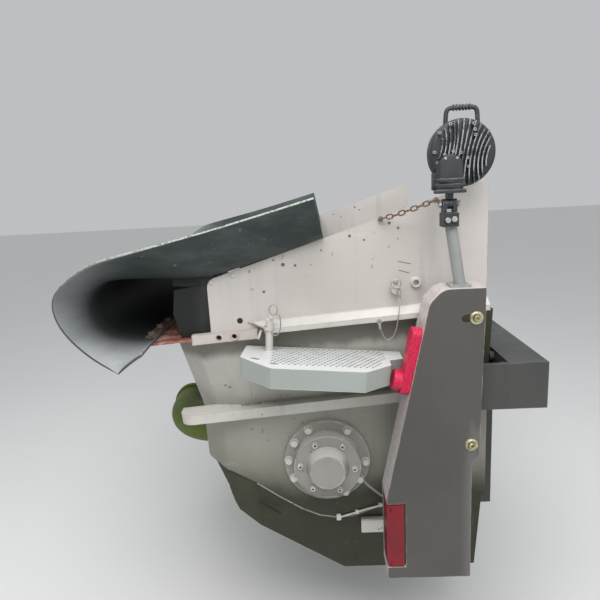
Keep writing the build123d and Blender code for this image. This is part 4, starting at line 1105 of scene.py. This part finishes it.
# Post: galvanised tube. Chain from the splash plate's top edge to the lamp's clamp: rusty welded links,
# each turned a quarter from the last, on a sagging line.
dress(enamel("post_galvanised", (0.27, 0.28, 0.27), (0.16, 0.17, 0.16), gloss=0.30, specks=0.68,
             wear_and_highlight=(0.5, 0.5, 0.48), wear_and_highlight_amount=0.5), "lamp_post")
CHAIN = ((202, -735, 840), (242, -765, 850), (300, -812, 873), (345, -858, 893))
LINK_LONG = 27
LINK_WIDE = 18
WIRE = 2.4
LINK_LOOP = ((1, 0), (0.9, 0.9), (0, 1), (-0.9, 0.9), (-1, 0), (-0.9, -0.9), (0, -1), (0.9, -0.9))

work = bmesh.new()
ends = [Vector(at) for at in CHAIN]
runs = [(b - a).length for a, b in zip(ends, ends[1:])]
count = round(sum(runs) / (LINK_LONG - 2.4 * WIRE))
for i in range(count):
    along = (i + 0.5) / count * sum(runs)
    leg = 0
    while along > runs[leg]:
        along -= runs[leg]
        leg += 1
    way = (ends[leg + 1] - ends[leg]).normalized()
    middle = ends[leg] + way * along
    side = way.cross((0, 0, 1)).normalized()
    if i % 2:
        side = way.cross(side)
    half, broad = way * (LINK_LONG / 2 - WIRE), side * (LINK_WIDE / 2 - WIRE)
    tube(work, [middle + half * u + broad * v for u, v in LINK_LOOP], WIRE, closed=True)
for at in (CHAIN[0], CHAIN[-1]):
    tube(work, hoop(*at, 7, 7, 6), 2.2, closed=True)
seat(work, bar((22, 5, 12), 1.5), (356, -858, 888), (0.4, 0, 0.9))
seat(work, bar((14, 22, 5), 1.5), (202, -726, 836), UP)
chain_steel = scoured("chain_steel", (0.30, 0.26, 0.22), (0.13, 0.075, 0.045), 0.9)
piece("lamp_chain", work, chain_steel)


# Lanyard of the lynch pin: thin wire with a crimped ferrule at each end. It hangs in a bow in front of the
# rail, and its lower end is crimped to the rail's edge.
def wire_material(name, colour, shade, metal):
    material, shader = new_material(name)
    strand = noise(position(shader, (1, 1, 1), (0.5, 0.4, 0)), 240, 2)
    coat(shader, tint(strand, colour, shade), 0.5, strand, 0.4, 0.0006, metal)
    return material


def line(name, points, diameter, finish):
    """A cord along given points on the hopper."""
    curve = bent(name, points, diameter / 2, 3, 8)
    curve.materials.append(finish)
    cord = stand(name, curve)
    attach(cord, "hopper")
    return cord


def length_of(cord):
    """Length of a cord along its smooth line, in metres."""
    bevel = cord.data.bevel_depth
    cord.data.bevel_depth = 0
    mesh = bpy.data.meshes.new_from_object(cord)
    cord.data.bevel_depth = bevel
    at = [vert.co.copy() for vert in mesh.vertices]
    bpy.data.meshes.remove(mesh)
    return sum((b - a).length for a, b in zip(at, at[1:]))


LANYARD = ((253, -758, 590), (254, -768, 572), (250, -772, 545), (245, -773, 514), (240, -774, 488),
           (231, -774, 466), (212, -773, 452), (199, -772, 466), (190, -770, 492))
bright_wire = wire_material("lanyard_wire", (0.45, 0.45, 0.43), (0.28, 0.27, 0.25), 0.5)
lanyard = line("pin_lanyard", LANYARD, 3, bright_wire)
work = bmesh.new()
for high, foot, way in ((25, (253, -757, 612), (0.02, -0.02, -1)), (20, (187, -768, 510), (0.16, -0.1, -1))):
    seat(work, turned([(0, 0), (4, 0), (5, 3), (5, high - 3), (4, high), (0, high)], 16), foot, way)
seat(work, turned([(3.5, -3), (8, -3), (8, 3), (3.5, 3), (3.5, -3)], 18), (187, -768, 516), (0, 1, 0))
tube(work, hoop(253, -757, 616, 6, 7, 6), 1.5, closed=True)
ferrules = piece("lanyard_ferrules", work, zinc)
length_of(lanyard)

# Grease hose: from the nipple on the bearing's flange along the skirt and behind the lamp plate to the
# distributor block on the hull, and a steel grease line clipped below the seam.
GREASE_HOSE = ((119, -716, -69), (136, -722, -88), (154, -722, -105), (172, -720, -122), (189, -717, -139),
               (207, -712, -146), (232, -708, -140), (262, -706, -120), (292, -704, -96), (318, -702, -78))
hose_black = wire_material("hose_sheath", (0.30, 0.30, 0.28), (0.20, 0.20, 0.185), 0.0)
for side in (1, -1):
    route = [(x, y * side, z) for x, y, z in GREASE_HOSE]
    end = "right" if side > 0 else "left"
    hose = line("grease_hose_" + end, route, 8, hose_black)
    work = bmesh.new()
    seat(work, hexagon(14, 10), (108, -706 * side, -58), (0.6, -0.1 * side, -0.7))
    seat(work, turned([(0, 0), (5.5, 0), (6.5, 2), (6.5, 20), (5, 22), (0, 22)], 18), (113, -712 * side, -62),
         Vector((0.62, -0.15 * side, -0.7)))
    seat(work, bar((34, 30, 34), 3), (334, -700 * side, -70), UP)
    for x, z in ((334, -50), (346, -70), (334, -90)):
        seat(work, hexagon(10, 7), (x, -715 * side, z), (0, -side, 0))
    fittings = piece("grease_fittings_" + end, work, zinc)
    length_of(hose)

work = bmesh.new()
tube(work, [(34, -695, -236), (50, -695, -230), (90, -695, -219), (129, -695, -206), (165, -696, -196),
            (200, -696, -187), (260, -696, -172), (300, -696, -120), (322, -698, -90)], 3.2)
seat(work, bar((17, 8, 24), 1.5), (33, -694, -234), UP)
for x, z in ((100, -216), (185, -191), (255, -174)):
    seat(work, bar((12, 10, 14), 1.5), (x, -692, z), UP, 14)
seat(work, bar((87, 6, 55), 1.5), (160, -650, -305), UP)
seat(work, bar((87, 30, 5), 1.5), (160, -638, -279), UP)
piece("grease_line", work, rail_enamel, both=True)

# Studio: pale floor under the hopper, two soft lamps and a pale world.
FLOOR_DROP = 0.35
work = bmesh.new()
bmesh.ops.create_grid(work, x_segments=1, y_segments=1, size=30)
bmesh.ops.translate(work, verts=work.verts, vec=(0, 0, cad_box[0][2] - FLOOR_DROP))
floor = stand("floor", mesh_of(work, "floor"))
floor.data.materials.append(mottled("floor_paint", (0.76, 0.76, 0.75), (0.80, 0.80, 0.79), 1.4, 5, 0.9))


def soft_lamp(name, at, aim, size, power):
    light = bpy.data.lights.new(name, "AREA")
    light.shape = "SQUARE"
    light.size = size
    light.energy = power
    holder = stand(name, light)
    holder.location = at
    holder.rotation_euler = (aim - at).to_track_quat("-Z", "Y").to_euler()


middle = place(0, 0, 200)
soft_lamp("sky_above", place(-300, -1900, 3300), middle, 3.2, 150)
soft_lamp("sky_front", place(1500, -2600, 1700), middle, 2.4, 24)
world = bpy.data.worlds.new("pale_sky")
world.use_nodes = True
world.node_tree.nodes["Background"].inputs["Color"].default_value = (0.93, 0.95, 0.98, 1)
world.node_tree.nodes["Background"].inputs["Strength"].default_value = 0.55
bpy.context.scene.world = world
bpy.context.scene.view_settings.view_transform = "Standard"
